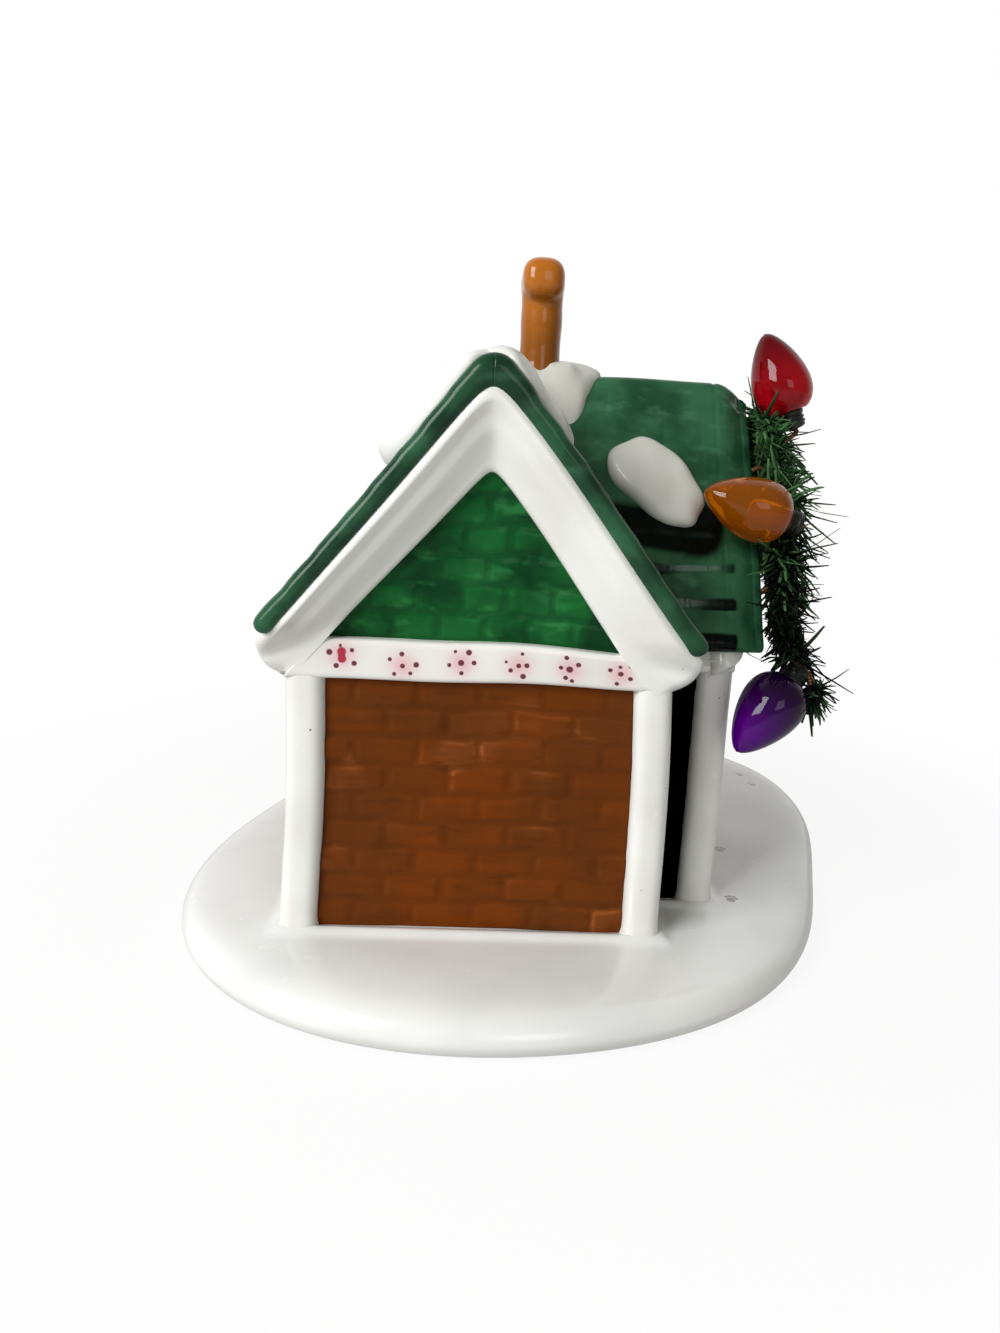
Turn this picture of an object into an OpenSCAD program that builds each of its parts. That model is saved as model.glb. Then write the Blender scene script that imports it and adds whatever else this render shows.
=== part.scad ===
// Christmas village dog house in glazed ceramic, sizes in millimetres.
// A hall with two side gables is crossed by a porch, so the plan is a T on a mound of snow.
// +Z is up, the photographed side gable faces -Y and the door faces +X.
// The origin is the middle of the snow base's outline, on the surface that the base stands on.

/* [Snow base] */
// Mean radius of the outline
base_r = 62.4; // [54:0.2:80]
// Lengthening of the outline along its long diagonal
base_stretch = 7.8; // [0:0.1:10]
// Direction of the long diagonal, from +X
base_stretch_dir = 59.5; // [0:0.5:180]
// Squaring of the outline
base_square = 2; // [0:0.1:5]
// Direction of the squared corners, from +X
base_square_dir = 37; // [0:0.5:90]
// Height of the flat seat that the house stands on
base_h = 7; // [4:0.5:14]
// Width of the rounded rim between the outline and the flat seat
rim_w = 5.2; // [3:0.1:6]

/* [Walls] */
// Width of the hall across the feet of its posts
hall_w = 58; // [48:0.5:72]
// Depth of the hall from one gable's post faces to the other's
hall_d = 74; // [66:0.5:90]
// Width of the porch across the feet of its posts
porch_w = 51.4; // [44:0.5:54]
// Reach of the porch post faces in front of the hall's middle
porch_out = 39.9; // [36:0.5:48]
// Height of the walls and posts
plate_h = 39.4; // [32:0.2:50]
// Lean of the long walls, in degrees
draft = 1.8; // [0:0.1:4]
// Thickness of the wall panels
wall_t = 2.6; // [1.6:0.1:4]
// How far the panels sit back from the post faces
panel_set = 1.6; // [0.6:0.1:3]
// Side of the square corner posts
post_w = 5.7; // [4:0.1:8]
// Radius on the upright edges of the posts
post_r = 1.4; // [0.4:0.1:2]
// Place of the hall's middle on the base, along X
house_x = -12.2; // [-20:0.2:0]
// Place of the hall's middle on the base, along Y
house_y = -7.6; // [-12:0.2:6]

/* [Brickwork and shingles] */
// Courses of brick in a wall
brick_courses = 9; // [5:1:12]
// Length of a brick with its joint
brick_l = 9.1; // [5:0.1:14]
// Width of the joints between bricks
brick_joint = 0.6; // [0.3:0.05:1]
// How far the bricks stand out of their joints
brick_proud = 0.4; // [0.2:0.05:0.8]
// Height of a shingle course in the gable triangles
gable_course = 4.1; // [3:0.1:7]
// Width of a shingle with its joint
shingle_w = 6.4; // [4:0.1:10]
// Width of the joints between shingles
shingle_joint = 0.5; // [0.3:0.05:1]

/* [Doorway] */
// Width of the doorway
door_w = 19; // [12:0.5:26]
// Height of the doorway's upright sides
door_side_h = 15; // [8:0.5:24]
// Width of the trim round the doorway
door_trim_w = 2.2; // [1:0.1:4]
// Thickness of that trim
door_trim_t = 1.1; // [0.5:0.1:1.5]

/* [Gables] */
// Height of the tie band over each gable panel
band_h = 5.6; // [4:0.1:9]
// Width of the bevelled rake trim
rake_w = 7.3; // [4:0.1:9]
// Flat lip of the rake trim along the roof
rake_lip = 0.9; // [0.4:0.1:2]
// How far the tie band stands in front of the panels
band_out = 1.7; // [0.8:0.1:3]

/* [Roof] */
// Height of the ridge lines over the top of the walls, before rounding
ridge_up = 46.3; // [36:0.1:60]
// Reach of the hall's eave edges past the tops of its posts
hall_eave_out = 3.5; // [1.5:0.1:6]
// Height of the hall's eave edges over the top of the walls
hall_eave_up = 8.4; // [4:0.1:12]
// Reach of the porch's eave edges past the tops of its posts
porch_eave_out = 1; // [0.5:0.1:5]
// Height of the porch's eave edges over the top of the walls
porch_eave_up = 4.8; // [4:0.1:10]
// Thickness of the roof slabs
roof_t = 2.8; // [1.8:0.1:4]
// Overhang in front of the hall's gables
hall_over = 3.8; // [2:0.1:8]
// Overhang in front of the porch
porch_over = 4.2; // [2:0.1:8]
// Shingle courses on each slope
courses = 8; // [5:1:14]
// Height of each course's lower edge over the next course
course_step = 0.5; // [0.2:0.05:1]
// Radius along the hall's ridge
hall_ridge_r = 3.6; // [0.8:0.1:5]
// Radius along the porch's ridge
porch_ridge_r = 1.5; // [0.8:0.1:5]

/* [Roof snow and bone] */
// Thickness of the snow patches
snow_t = 2.6; // [1.4:0.1:4]
// Distance of the bone from the hall's middle
bone_x = 7.8; // [5:0.1:12]
// Height of the bone over the porch ridge
bone_h = 17.5; // [14:0.5:26]
// Thickness of the bone
bone_t = 7; // [5:0.1:9]

/* [Garland and bulbs] */
// Distance of the garland's wire in front of the porch roof edge
wire_out = 5.8; // [4:0.1:9]
// Thickness of the garland's twisted wire
wire_d = 1.4; // [1:0.1:2]
// Length of the needles
needle_l = 5.2; // [3:0.1:8]
// Thickness of a needle at its root
needle_d = 0.6; // [0.3:0.05:0.8]
// Needles on each half of the garland
needle_n = 230; // [120:10:240]
// Length of the garland's hanging ends
tail_l = 11; // [6:0.5:16]
// Length of a bulb
bulb_l = 13.6; // [10:0.2:18]
// Diameter of a bulb
bulb_d = 9.8; // [7:0.1:13]
// Diameter of a bulb's cap
cap_d = 5; // [3:0.1:7]
// Length of a bulb's cap
cap_l = 3; // [2:0.1:5]

/* [Hidden] */
$fn = 48;
big = 300;
lean = tan(draft);
ridge_h = plate_h + ridge_up;
hall_eave = hall_w / 2 - plate_h * lean + hall_eave_out;
hall_eave_h = plate_h + hall_eave_up;
porch_eave = porch_w / 2 - plate_h * lean + porch_eave_out;
porch_eave_h = plate_h + porch_eave_up;
hall_p = atan((ridge_h - hall_eave_h) / hall_eave);
porch_p = atan((ridge_h - porch_eave_h) / porch_eave);
hall_roof_y = hall_d / 2 + hall_over;
porch_roof_x = porch_out + porch_over;
band_top = plate_h + band_h;
panel_x = hall_w / 2 - panel_set;
porch_panel_y = porch_w / 2 - panel_set;
wire_x = porch_roof_x + wire_out;
// Each gable as half width of its posts, reach of their faces, pitch, eave edge, overhang and ridge radius
hall_gable = [hall_w / 2, hall_d / 2, hall_p, hall_eave, hall_over, hall_ridge_r];
porch_gable = [porch_w / 2, porch_out, porch_p, porch_eave, porch_over, porch_ridge_r];

// Moves from house coordinates, with z = 0 on the house floor, to the part's frame.
module house() { translate([house_x, house_y, base_h]) children(); }

// Turns a gable drawn facing -Y to face +Y or +X.
module facing(side) { rotate([0, 0, side == "near" ? 0 : side == "far" ? 180 : 90]) children(); }

// Outline of the snow base at one direction.
function reach(a) = base_r + base_stretch * cos(2 * (a - base_stretch_dir))
    + base_square * cos(4 * (a - base_square_dir));
base_edge = [for (i = [0:71]) reach(5 * i) * [cos(5 * i), sin(5 * i)]];
base_mid = [(max([for (p = base_edge) p[0]]) + min([for (p = base_edge) p[0]])) / 2,
    (max([for (p = base_edge) p[1]]) + min([for (p = base_edge) p[1]])) / 2];
// Rings of the mound: the outline drawn in by a share of the rim's width, at a share of the height.
base_rings = [[0.5, 0], [0.17, 0.1], [0, 0.36], [0.1, 0.62], [0.34, 0.82], [0.66, 0.95], [1, 1]];

// The mound of snow: rings of one outline, joined to a solid with flat faces below and on top.
module snow_base() {
    n = len(base_edge);
    m = len(base_rings);
    pts = [for (r = base_rings) for (p = base_edge) let (q = p - base_mid)
        [each (1 - r[0] * rim_w / norm(q)) * q, r[1] * base_h]];
    faces = concat([[for (i = [0:n - 1]) i]],
        [for (k = [0:m - 2]) for (i = [0:n - 1])
            [k * n + i, (k + 1) * n + i, (k + 1) * n + (i + 1) % n, k * n + (i + 1) % n]],
        [[for (i = [n - 1:-1:0]) (m - 1) * n + i]]);
    color([0.93, 0.93, 0.91]) polyhedron(pts, faces);
}

// Everything between the floor and the top of the walls.
module wall_zone() { translate([-big / 2, -big / 2, 0]) cube([big, big, plate_h]); }

// A slab or post drawn upright against x = 0, leaning to -X, cut level at floor and plate.
module leaning() {
    intersection() {
        rotate([0, -draft, 0]) translate([0, 0, -5]) linear_extrude(height = plate_h + 10) scale(cos(draft))
            children();
        wall_zone();
    }
}

// Corner post of a gable that faces -Y, on its +X side.
module gable_post(g) {
    color([0.95, 0.95, 0.93]) translate([g[0], 0, 0]) leaning()
        translate([-post_w, -g[1] / cos(draft)]) intersection() {
            square([post_w, post_w / cos(draft)]);
            translate([post_r, post_r]) union() {
                translate([0, -post_r]) square([post_w - 2 * post_r, post_w]);
                translate([-post_r, 0]) square([post_w, post_w]);
                circle(post_r);
                translate([post_w - 2 * post_r, 0]) circle(post_r);
            }
        }
}

// Inside width of a gable between its posts, at a height.
function gap(g, z) = g[0] - post_w - z * lean;

// Flat outline of the panel that fills a gable between its posts.
module panel_shape(g) {
    polygon([[-gap(g, 0), 0], [gap(g, 0), 0], [gap(g, plate_h), plate_h], [-gap(g, plate_h), plate_h]]);
}

// Stands a flat shape drawn in X and Z upright, its front face at y = -front, t thick.
module upright(front, t) { translate([0, t - front, 0]) rotate([90, 0, 0]) linear_extrude(height = t) children(); }

// Running bond over a width on both sides of the middle: courses of blocks l long and h high, with joints.
module bond(half, n, l, h, joint) {
    for (r = [0:n - 1]) for (k = [-ceil(half / l) - 1:ceil(half / l)])
        translate([(k + r % 2 / 2) * l + joint / 2, r * h + joint / 2]) square([l - joint, h - joint]);
}
module bricks(half) { bond(half, brick_courses, brick_l, plate_h / brick_courses, brick_joint); }

// A brick panel: a slab with the bricks standing out of its face.
module brick_panel(front) {
    upright(front - brick_proud, wall_t - brick_proud) children();
    upright(front, brick_proud) intersection() {
        children();
        bricks(hall_w);
    }
}

// Side gable panel.
module side_panel(side) {
    house() facing(side) color([0.42, 0.2, 0.05])
        brick_panel(hall_gable[1] - panel_set) panel_shape(hall_gable);
}
module side_panel_near() { side_panel("near"); }
module side_panel_far() { side_panel("far"); }

// Brick slab of a long wall, its outer face at x = out, leaning in, between two places along Y.
module long_slab(out, y0, y1) {
    translate([out, 0, 0]) {
        leaning() translate([-wall_t, y0]) square([wall_t - brick_proud, y1 - y0]);
        intersection() {
            leaning() translate([-brick_proud - 0.1, y0]) square([brick_proud + 0.1, y1 - y0]);
            rotate([0, -draft, 0]) translate([-brick_proud * cos(draft), 0, 0]) rotate([90, 0, 90])
                linear_extrude(height = 2) bricks(hall_d);
        }
    }
}

// Back wall between the two back posts.
module back_wall() {
    l = hall_d / 2 - post_w;
    house() color([0.42, 0.2, 0.05]) mirror([1, 0, 0]) long_slab(panel_x, -l / cos(draft), l / cos(draft));
}

// Doorway outline, widened by a margin.
module doorway(m) {
    translate([-door_w / 2 - m, -m]) square([door_w + 2 * m, door_side_h + m]);
    translate([0, door_side_h]) circle(door_w / 2 + m);
}

// Porch front with its arched doorway.
module door_wall() {
    house() facing("porch") color([0.42, 0.2, 0.05]) brick_panel(porch_gable[1] - panel_set) difference() {
        panel_shape(porch_gable);
        doorway(0);
    }
}

// Raised trim round the doorway, seated on the door wall.
module door_trim() {
    house() facing("porch") color([0.95, 0.95, 0.93])
        upright(porch_gable[1] - panel_set + door_trim_t, door_trim_t) difference() {
            intersection() {
                doorway(door_trim_w);
                translate([-door_w, 0]) square([2 * door_w, 2 * door_w + door_side_h]);
            }
            doorway(0);
        }
}

// All that lies behind the porch's side wall face, used to end the hall's return walls on it.
module porch_zone() {
    intersection_for (s = [1, -1]) scale([1, s, 1]) rotate([0, 0, 90]) translate([porch_panel_y, 0, 0]) leaning()
        translate([-big / 2, -big / 2]) square([big / 2, big]);
}

// Hall wall beside the porch, between the front corner post and the porch's side wall.
module return_wall_near() {
    house() color([0.3, 0.14, 0.04]) difference() {
        long_slab(panel_x, -(hall_d / 2 - post_w) / cos(draft), 0);
        porch_zone();
    }
}
module return_wall_far() { translate([0, 2 * house_y, 0]) mirror([0, 1, 0]) return_wall_near(); }

// Side wall of the porch, from the inner face of the return wall to the porch's corner post.
module porch_wall_near() {
    house() color([0.3, 0.14, 0.04]) difference() {
        rotate([0, 0, -90]) long_slab(porch_panel_y, 0, (porch_out - post_w) / cos(draft));
        translate([panel_x - wall_t, 0, 0]) leaning() translate([-big, -big / 2]) square([big, big]);
    }
}
module porch_wall_far() { translate([0, 2 * house_y, 0]) mirror([0, 1, 0]) porch_wall_near(); }

// Corner posts.
module post_front_near() { house() gable_post(hall_gable); }
module post_back_near() { house() mirror([1, 0, 0]) gable_post(hall_gable); }
module post_front_far() { house() mirror([0, 1, 0]) gable_post(hall_gable); }
module post_back_far() { house() rotate([0, 0, 180]) gable_post(hall_gable); }
module post_porch_near() { house() facing("porch") mirror([1, 0, 0]) gable_post(porch_gable); }
module post_porch_far() { house() facing("porch") gable_post(porch_gable); }

// Height of the line that lies d under a roof's outer plane, at a distance from its ridge.
function under(p, d, x) = ridge_h - d / cos(p) - x * tan(p);
// Distance from the ridge at which that line reaches a height.
function under_x(p, d, z) = (ridge_h - d / cos(p) - z) / tan(p);
// Depth of the rake trim's inner edge under the roof's outer plane.
rake_d = roof_t + rake_w;

// White tie band over a gable panel, its slanted ends against the rake trim.
module band(side, g) {
    house() facing(side) color([0.95, 0.95, 0.93])
        upright(g[1] - panel_set + band_out, wall_t + band_out)
            polygon([for (p = [[-1, plate_h], [1, plate_h], [1, band_top], [-1, band_top]])
                [p[0] * under_x(g[2], rake_d, p[1]), p[1]]]);
}
module band_near() { band("near", hall_gable); }
module band_far() { band("far", hall_gable); }
module band_porch() { band("porch", porch_gable); }

// Green triangle inside the rake trim.
module tympanum(side, g) {
    x = under_x(g[2], rake_d, band_top);
    house() facing(side) color([0.06, 0.3, 0.12]) {
        upright(g[1] - panel_set - brick_proud, wall_t - brick_proud) tri(x, g);
        upright(g[1] - panel_set, brick_proud) intersection() {
            tri(x, g);
            translate([0, band_top]) bond(x, ceil(x / gable_course * 2), shingle_w, gable_course, shingle_joint);
        }
    }
    module tri(x, g) { polygon([[-x, band_top], [x, band_top], [0, under(g[2], rake_d, 0)]]); }
}
module tympanum_near() { tympanum("near", hall_gable); }
module tympanum_far() { tympanum("far", hall_gable); }
module tympanum_porch() { tympanum("porch", porch_gable); }

// One leg of a rake trim: a bevelled bar under the roof, cut at the ridge, the plate and the eave.
module rake_leg(g) {
    front = -(g[1] + g[4] - 0.4);
    back = -(g[1] - panel_set - wall_t);
    inner = -(g[1] - panel_set + 0.8);
    foot = g[0] - plate_h * lean - 0.6;
    color([0.95, 0.95, 0.93]) intersection() {
        translate([0, 0, ridge_h]) rotate([0, 90 + g[2], 0]) linear_extrude(height = big / 3)
            polygon([[roof_t, back], [roof_t, front], [roof_t + rake_lip, front], [rake_d, inner], [rake_d, back]]);
        rotate([90, 0, 0]) translate([0, 0, -big / 2]) linear_extrude(height = big)
            polygon([[0, plate_h], [foot, plate_h],
                [g[3] - roof_t * sin(g[2]) + 0.2, under(g[2], roof_t, g[3] - roof_t * sin(g[2]))],
                [g[3] - 3, ridge_h], [0, ridge_h]]);
    }
}
module rake_near_front() { house() rake_leg(hall_gable); }
module rake_near_back() { house() mirror([1, 0, 0]) rake_leg(hall_gable); }
module rake_far_front() { house() mirror([0, 1, 0]) rake_leg(hall_gable); }
module rake_far_back() { house() rotate([0, 0, 180]) rake_leg(hall_gable); }
module rake_porch_near() { house() facing("porch") mirror([1, 0, 0]) rake_leg(porch_gable); }
module rake_porch_far() { house() facing("porch") rake_leg(porch_gable); }

// Point of a slope's profile: s down the slope from the ridge, t above the roof's outer plane.
function slope(p, s, t) = [s * cos(p) + t * sin(p), ridge_h - s * sin(p) + t * cos(p)];
// Length of a slope, and where its courses begin under the rounded ridge.
function slope_l(g) = g[3] / cos(g[2]);
function slope_0(g) = g[5] * tan(g[2]);

// Profile of one slope: the rounded ridge, the stepped shingles and a depth d under the outer plane.
module slope_profile(g, d) {
    c = (slope_l(g) - slope_0(g)) / courses;
    ridge = [for (i = [0:6]) [0, ridge_h - g[5] / cos(g[2])]
        + g[5] * [sin(g[2] * i / 6), cos(g[2] * i / 6)]];
    top = [for (k = [0:courses - 1]) for (e = [0, 1]) slope(g[2], slope_0(g) + (k + e) * c, e * course_step)];
    polygon(concat(ridge, [for (i = [1:len(top) - 1]) top[i]],
        [slope(g[2], slope_l(g), -d), [0, under(g[2], d, 0)]]));
}

// Slope slab of a roof that runs along Y, on its +X side, between two places along Y.
module slope_plain(g, y0, y1) {
    translate([0, y1, 0]) rotate([90, 0, 0]) linear_extrude(height = y1 - y0) slope_profile(g, roof_t);
}
// The slab as it shows, from y0 to y1: the verges named in ends are rounded, and joints between the shingles
// are cut in each course.
module slope_slab(g, y0, y1, ends) {
    r = (roof_t + course_step) / 2 + 0.1;
    c = (slope_l(g) - slope_0(g)) / courses;
    n = floor((y1 - y0) / shingle_w);
    difference() {
        intersection() {
            slope_plain(g, y0, y1);
            union() {
                translate([-1, y0 + (ends[0] ? r : -1), 0])
                    cube([big / 2, y1 - y0 - (ends[0] ? r : -1) - (ends[1] ? r : -1), big / 2]);
                for (e = [0, 1]) if (ends[e]) translate([0, e == 0 ? y0 + r : y1 - r, ridge_h]) rotate([0, g[2], 0])
                    translate([-10, 0, (course_step - roof_t) / 2]) rotate([0, 90, 0]) cylinder(r = r, h = big / 2);
            }
        }
        translate([0, 0, ridge_h]) rotate([0, g[2], 0]) for (k = [0:courses - 1]) for (i = [0:n - 1 + k % 2])
            translate([slope_0(g) + k * c, (y0 + y1) / 2 + (i - n / 2 + 0.5 - k % 2 / 2) * shingle_w - shingle_joint / 2, 0.06])
                cube([c + 0.2, shingle_joint, 1]);
    }
}

// All that lies under the outside of the hall's roof, and under the inside of the porch's.
module hall_outside() {
    for (m = [0, 1]) mirror([m, 0, 0]) translate([0, big / 2, 0]) rotate([90, 0, 0]) linear_extrude(height = big)
        slope_profile(hall_gable, 70);
}
module porch_inside() {
    x = under_x(porch_p, roof_t, 20);
    rotate([90, 0, 90]) linear_extrude(height = big) polygon([[-x, 20], [x, 20], [0, under(porch_p, roof_t, 0)]]);
}

// Roof slopes.
module hall_roof_back() { house() color([0.1, 0.32, 0.17]) mirror([1, 0, 0]) slope_slab(hall_gable, -hall_roof_y, hall_roof_y, [true, true]); }
module hall_roof_front() {
    house() color([0.1, 0.32, 0.17]) difference() {
        slope_slab(hall_gable, -hall_roof_y, hall_roof_y, [true, true]);
        porch_inside();
    }
}
module porch_roof_far() {
    house() color([0.1, 0.32, 0.17]) difference() {
        facing("porch") slope_slab(porch_gable, -porch_roof_x, -1, [true, false]);
        hall_outside();
    }
}
module porch_roof_near() { translate([0, 2 * house_y, 0]) mirror([0, 1, 0]) porch_roof_far(); }

// White fascia that closes the eave between a long wall's top and the roof slab.
module fascia(g, y0, y1) {
    out = g[0] - plate_h * lean;
    in = out - panel_set - wall_t;
    color([0.95, 0.95, 0.93]) translate([0, y1, 0]) rotate([90, 0, 0]) linear_extrude(height = y1 - y0)
        polygon([[in, plate_h], [out, plate_h], [out, under(g[2], roof_t, out)], [in, under(g[2], roof_t, in)]]);
}
fascia_y = hall_d / 2 - panel_set - wall_t;
module fascia_back() { house() mirror([1, 0, 0]) fascia(hall_gable, -fascia_y, fascia_y); }
module fascia_front_near() {
    house() difference() {
        fascia(hall_gable, -fascia_y, 0);
        rotate([90, 0, 90]) linear_extrude(height = big)
            polygon([[-porch_w / 2 + plate_h * lean, 0], [0, 0], [0, ridge_h],
                [-porch_w / 2 + plate_h * lean, under(porch_p, roof_t, porch_w / 2 - plate_h * lean)]]);
        porch_inside();
        facing("porch") mirror([1, 0, 0]) slope_plain(porch_gable, -porch_roof_x, -1);
    }
}
module fascia_front_far() { translate([0, 2 * house_y, 0]) mirror([0, 1, 0]) fascia_front_near(); }
module fascia_porch_far() {
    x0 = hall_w / 2 - plate_h * lean - panel_set - wall_t;
    house() facing("porch") difference() {
        fascia(porch_gable, -(porch_out - panel_set - wall_t), -x0);
        facing("far") rotate([0, 0, 90]) hall_slab_cut();
    }
}
module fascia_porch_near() { translate([0, 2 * house_y, 0]) mirror([0, 1, 0]) fascia_porch_far(); }
// The hall's front roof slab as a cutter, drawn without its shingle steps.
module hall_slab_cut() {
    translate([0, big / 2, 0]) rotate([90, 0, 0]) linear_extrude(height = big) polygon([[0, ridge_h],
        [hall_eave + 1, under(hall_p, -course_step, hall_eave + 1)],
        [hall_eave - roof_t * sin(hall_p), under(hall_p, roof_t, hall_eave - roof_t * sin(hall_p))],
        [0, under(hall_p, roof_t, 0)]]);
}

// Top of a rounded ridge.
function ridge_top(g) = ridge_h - g[5] * (1 / cos(g[2]) - 1);

// A soft mound of snow, centred on a slope at s down from the ridge, long by wide and proud by t.
module mound(g, s, long, wide, t) {
    translate([0, 0, ridge_h]) rotate([0, g[2], 0]) translate([s, 0, course_step])
        scale([wide / 2, long / 2, t]) sphere(1, $fn = 32);
}
// What the snow lies on: the planes through the courses' lower edges, level along the ridges.
module snow_bed() {
    module bed(g, l) {
        x = (ridge_h + course_step / cos(g[2]) - ridge_top(g)) / tan(g[2]);
        y = (ridge_h + course_step / cos(g[2]) - 40) / tan(g[2]);
        rotate([90, 0, 0]) linear_extrude(height = l)
            polygon([[-y, 40], [y, 40], [x, ridge_top(g)], [-x, ridge_top(g)]]);
    }
    translate([0, big / 2, 0]) bed(hall_gable, big);
    rotate([0, 0, 90]) bed(porch_gable, big / 2);
}

// Everything on the porch's side of the hall's ridge.
module front_side() { translate([0, -big / 2, 0]) cube([big / 2, big, big]); }

// Snow on the back slope, up to the ridge.
module snow_back_slope() {
    house() color([0.9, 0.9, 0.88]) difference() {
        mirror([1, 0, 0]) union() {
            translate([0, -26, 0]) mound(hall_gable, 12.5, 29, 23, snow_t + 0.4);
            translate([0, -5, 0]) mound(hall_gable, 11, 34, 17, snow_t);
        }
        snow_bed();
        ridge_dome();
        front_side();
    }
}

// Snow on the ridge crossing and the top of the hall's front slope, with the socket of the bone and a tongue
// down the near valley.
module ridge_dome() { translate([bone_x, 0, bone_z - 0.4]) scale([10, 6.5, snow_t + 0.8]) sphere(1, $fn = 32); }
module snow_ridge() {
    house() color([0.9, 0.9, 0.88]) difference() {
        union() {
            ridge_dome();
            translate([bone_x + 3.5, 0, 0]) rotate([0, 0, -90]) mound(porch_gable, 8, 9, 12, snow_t);
            intersection() {
                translate([0, -20.5, 0]) mound(hall_gable, 9, 38, 17, snow_t - 0.4);
                front_side();
            }
        }
        snow_bed();
        bone_shape();
    }
}

// Oval patch of snow on the porch's near slope.
module snow_porch_slope() {
    house() color([0.9, 0.9, 0.88]) difference() {
        translate([27.5, 0, 0]) rotate([0, 0, -90]) mound(porch_gable, 21.4, 14, 17, snow_t);
        snow_bed();
    }
}

// Dog bone on end: a round shaft with two knobs at the top, its foot level in the ridge snow.
bone_z = max(ridge_top(hall_gable), ridge_top(porch_gable)) + 0.4;
module bone_shape() {
    r = bone_t / 2;
    h = bone_h - r;
    translate([bone_x, 0, bone_z]) rotate_extrude() polygon(concat([[0, 0]],
        [for (i = [0:12]) [r * (0.86 + 0.1 * pow(2 * i / 12 - 1, 2)), h * i / 12]], [[0, h]]));
    for (s = [1, -1]) translate([bone_x, s * 0.92 * r, bone_z + h]) sphere(r);
}
module bone_finial() { house() color([0.68, 0.4, 0.13]) bone_shape(); }

// Route of one half of the garland, from the ridge down the rake and over the eave.
garland_route = [[0, ridge_top(porch_gable) - 2.5],
    [porch_eave + 1.5, porch_eave_h - 3.5],
    [porch_eave + 1.5, porch_eave_h - 3.5 - tail_l]];

// Place and direction on the route at a length from the ridge.
seg = [norm(garland_route[1] - garland_route[0]), norm(garland_route[2] - garland_route[1])];
function on_route(l) = l < seg[0]
    ? [garland_route[0] + l / seg[0] * (garland_route[1] - garland_route[0]),
        (garland_route[1] - garland_route[0]) / seg[0]]
    : [garland_route[1] + (l - seg[0]) / seg[1] * (garland_route[2] - garland_route[1]),
        (garland_route[2] - garland_route[1]) / seg[1]];

// Root and tip of a needle: it starts in the wire's middle and leans along the wire.
function needle_s(i) = 1.5 + (seg[0] + seg[1] - 2) * (i + 0.5) / needle_n;
function needle_root(i) = let (at = on_route(needle_s(i))[0]) [0, at[0], at[1]];
function needle_ahead(i) = let (d = on_route(needle_s(i))[1]) [0, d[0], d[1]];
function needle_out(i) = let (a = 137.508 * i, d = needle_ahead(i)) [sin(a), -cos(a) * d[2], cos(a) * d[1]];
function needle_tip(i) = needle_root(i) + needle_l * (0.9 + 0.1 * sin(97 * i)) * needle_out(i) + 0.8 * needle_ahead(i);

// True where a point lies in or close to a round bar between two points.
function by_bar(p, a, b, r) = let (v = (b - a) / norm(b - a), s = (p - a) * v)
    s > -0.4 && s < norm(b - a) + 0.4 && norm(p - a - s * v) < r + 0.4;
// True where a needle would run into a bulb, a cap, a bulb's wire or a tie, on either half.
function in_way(i) = len([for (k = [0.25:0.15:1]) for (m = [1, -1]) let (q = needle_root(i) + k * (needle_tip(i) - needle_root(i)),
    p = [q[0] + wire_x, m * q[1], q[2]]) if (
        len([for (j = [0:4]) let (b = bulbs_at[j]) if (by_bar(p, b[0], b[1], bulb_d / 2) || by_bar(p, cap_end(b), b[0], cap_d / 2)
            || by_bar(p, cap_end(b), core_at(j), 0.4)) 1]) > 0
        || len([for (l = tie_lengths) let (at = on_route(l)[0])
            if (by_bar(p, [porch_roof_x, at[0], at[1]], [wire_x, at[0], at[1]], 0.4)) 1]) > 0) 1]) > 0;
// One needle: a thin three-sided spike.
module needle(i) {
    ahead = needle_ahead(i);
    side = cross(needle_out(i), ahead);
    root = needle_root(i);
    polyhedron([root + needle_d * 0.6 * ahead, root + needle_d * (-0.3 * ahead + 0.5 * side),
        root + needle_d * (-0.3 * ahead - 0.5 * side), needle_tip(i)], [[0, 1, 2], [0, 3, 1], [1, 3, 2], [2, 3, 0]]);
}

// Half of the garland: twisted wire core with its needles fused to it.
module garland_far() {
    house() color([0.08, 0.2, 0.08]) translate([wire_x, 0, 0]) union() {
        rod([0, 0, garland_route[0][1]], [0, garland_route[1][0], garland_route[1][1]], wire_d, 12);
        rod([0, garland_route[1][0], garland_route[1][1]], [0, garland_route[2][0], garland_route[2][1]], wire_d, 12);
        translate([0, garland_route[1][0], garland_route[1][1]]) sphere(d = wire_d, $fn = 12);
        for (i = [0:needle_n - 1]) if (!in_way(i)) needle(i);
    }
}
module garland_near() { translate([0, 2 * house_y, 0]) mirror([0, 1, 0]) garland_far(); }

// Round rod between two points.
module rod(a, b, d, n) {
    v = b - a;
    translate(a) rotate([0, acos(v[2] / norm(v)), atan2(v[1], v[0])]) cylinder(d = d, h = norm(v), $fn = n);
}

// Wire ties from the edge of the porch's roof to the garland's core.
tie_lengths = [14, 36];
module garland_ties() {
    house() color([0.5, 0.35, 0.2]) for (s = [1, -1]) for (l = tie_lengths) {
        at = on_route(l)[0];
        translate([porch_roof_x, s * at[0], at[1]]) rotate([0, 90, 0]) cylinder(d = 0.8, h = wire_out - wire_d / 2);
    }
}

// Bulb along +Z from its cap end: a fat base that narrows to a blunt point.
function bulb_out(u) = bulb_d / 2 * pow(sin(180 * pow(u, 0.62)), 0.75);
module bulb_shape() {
    n = 24;
    rotate_extrude() polygon(concat([[0, 0]],
        [for (i = [0:n - 1]) let (u = 0.04 + 0.96 * pow(i / n, 1.2)) [bulb_out(u), bulb_l * (u - 0.04) / 0.96]],
        [[0, bulb_l]]));
}
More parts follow.
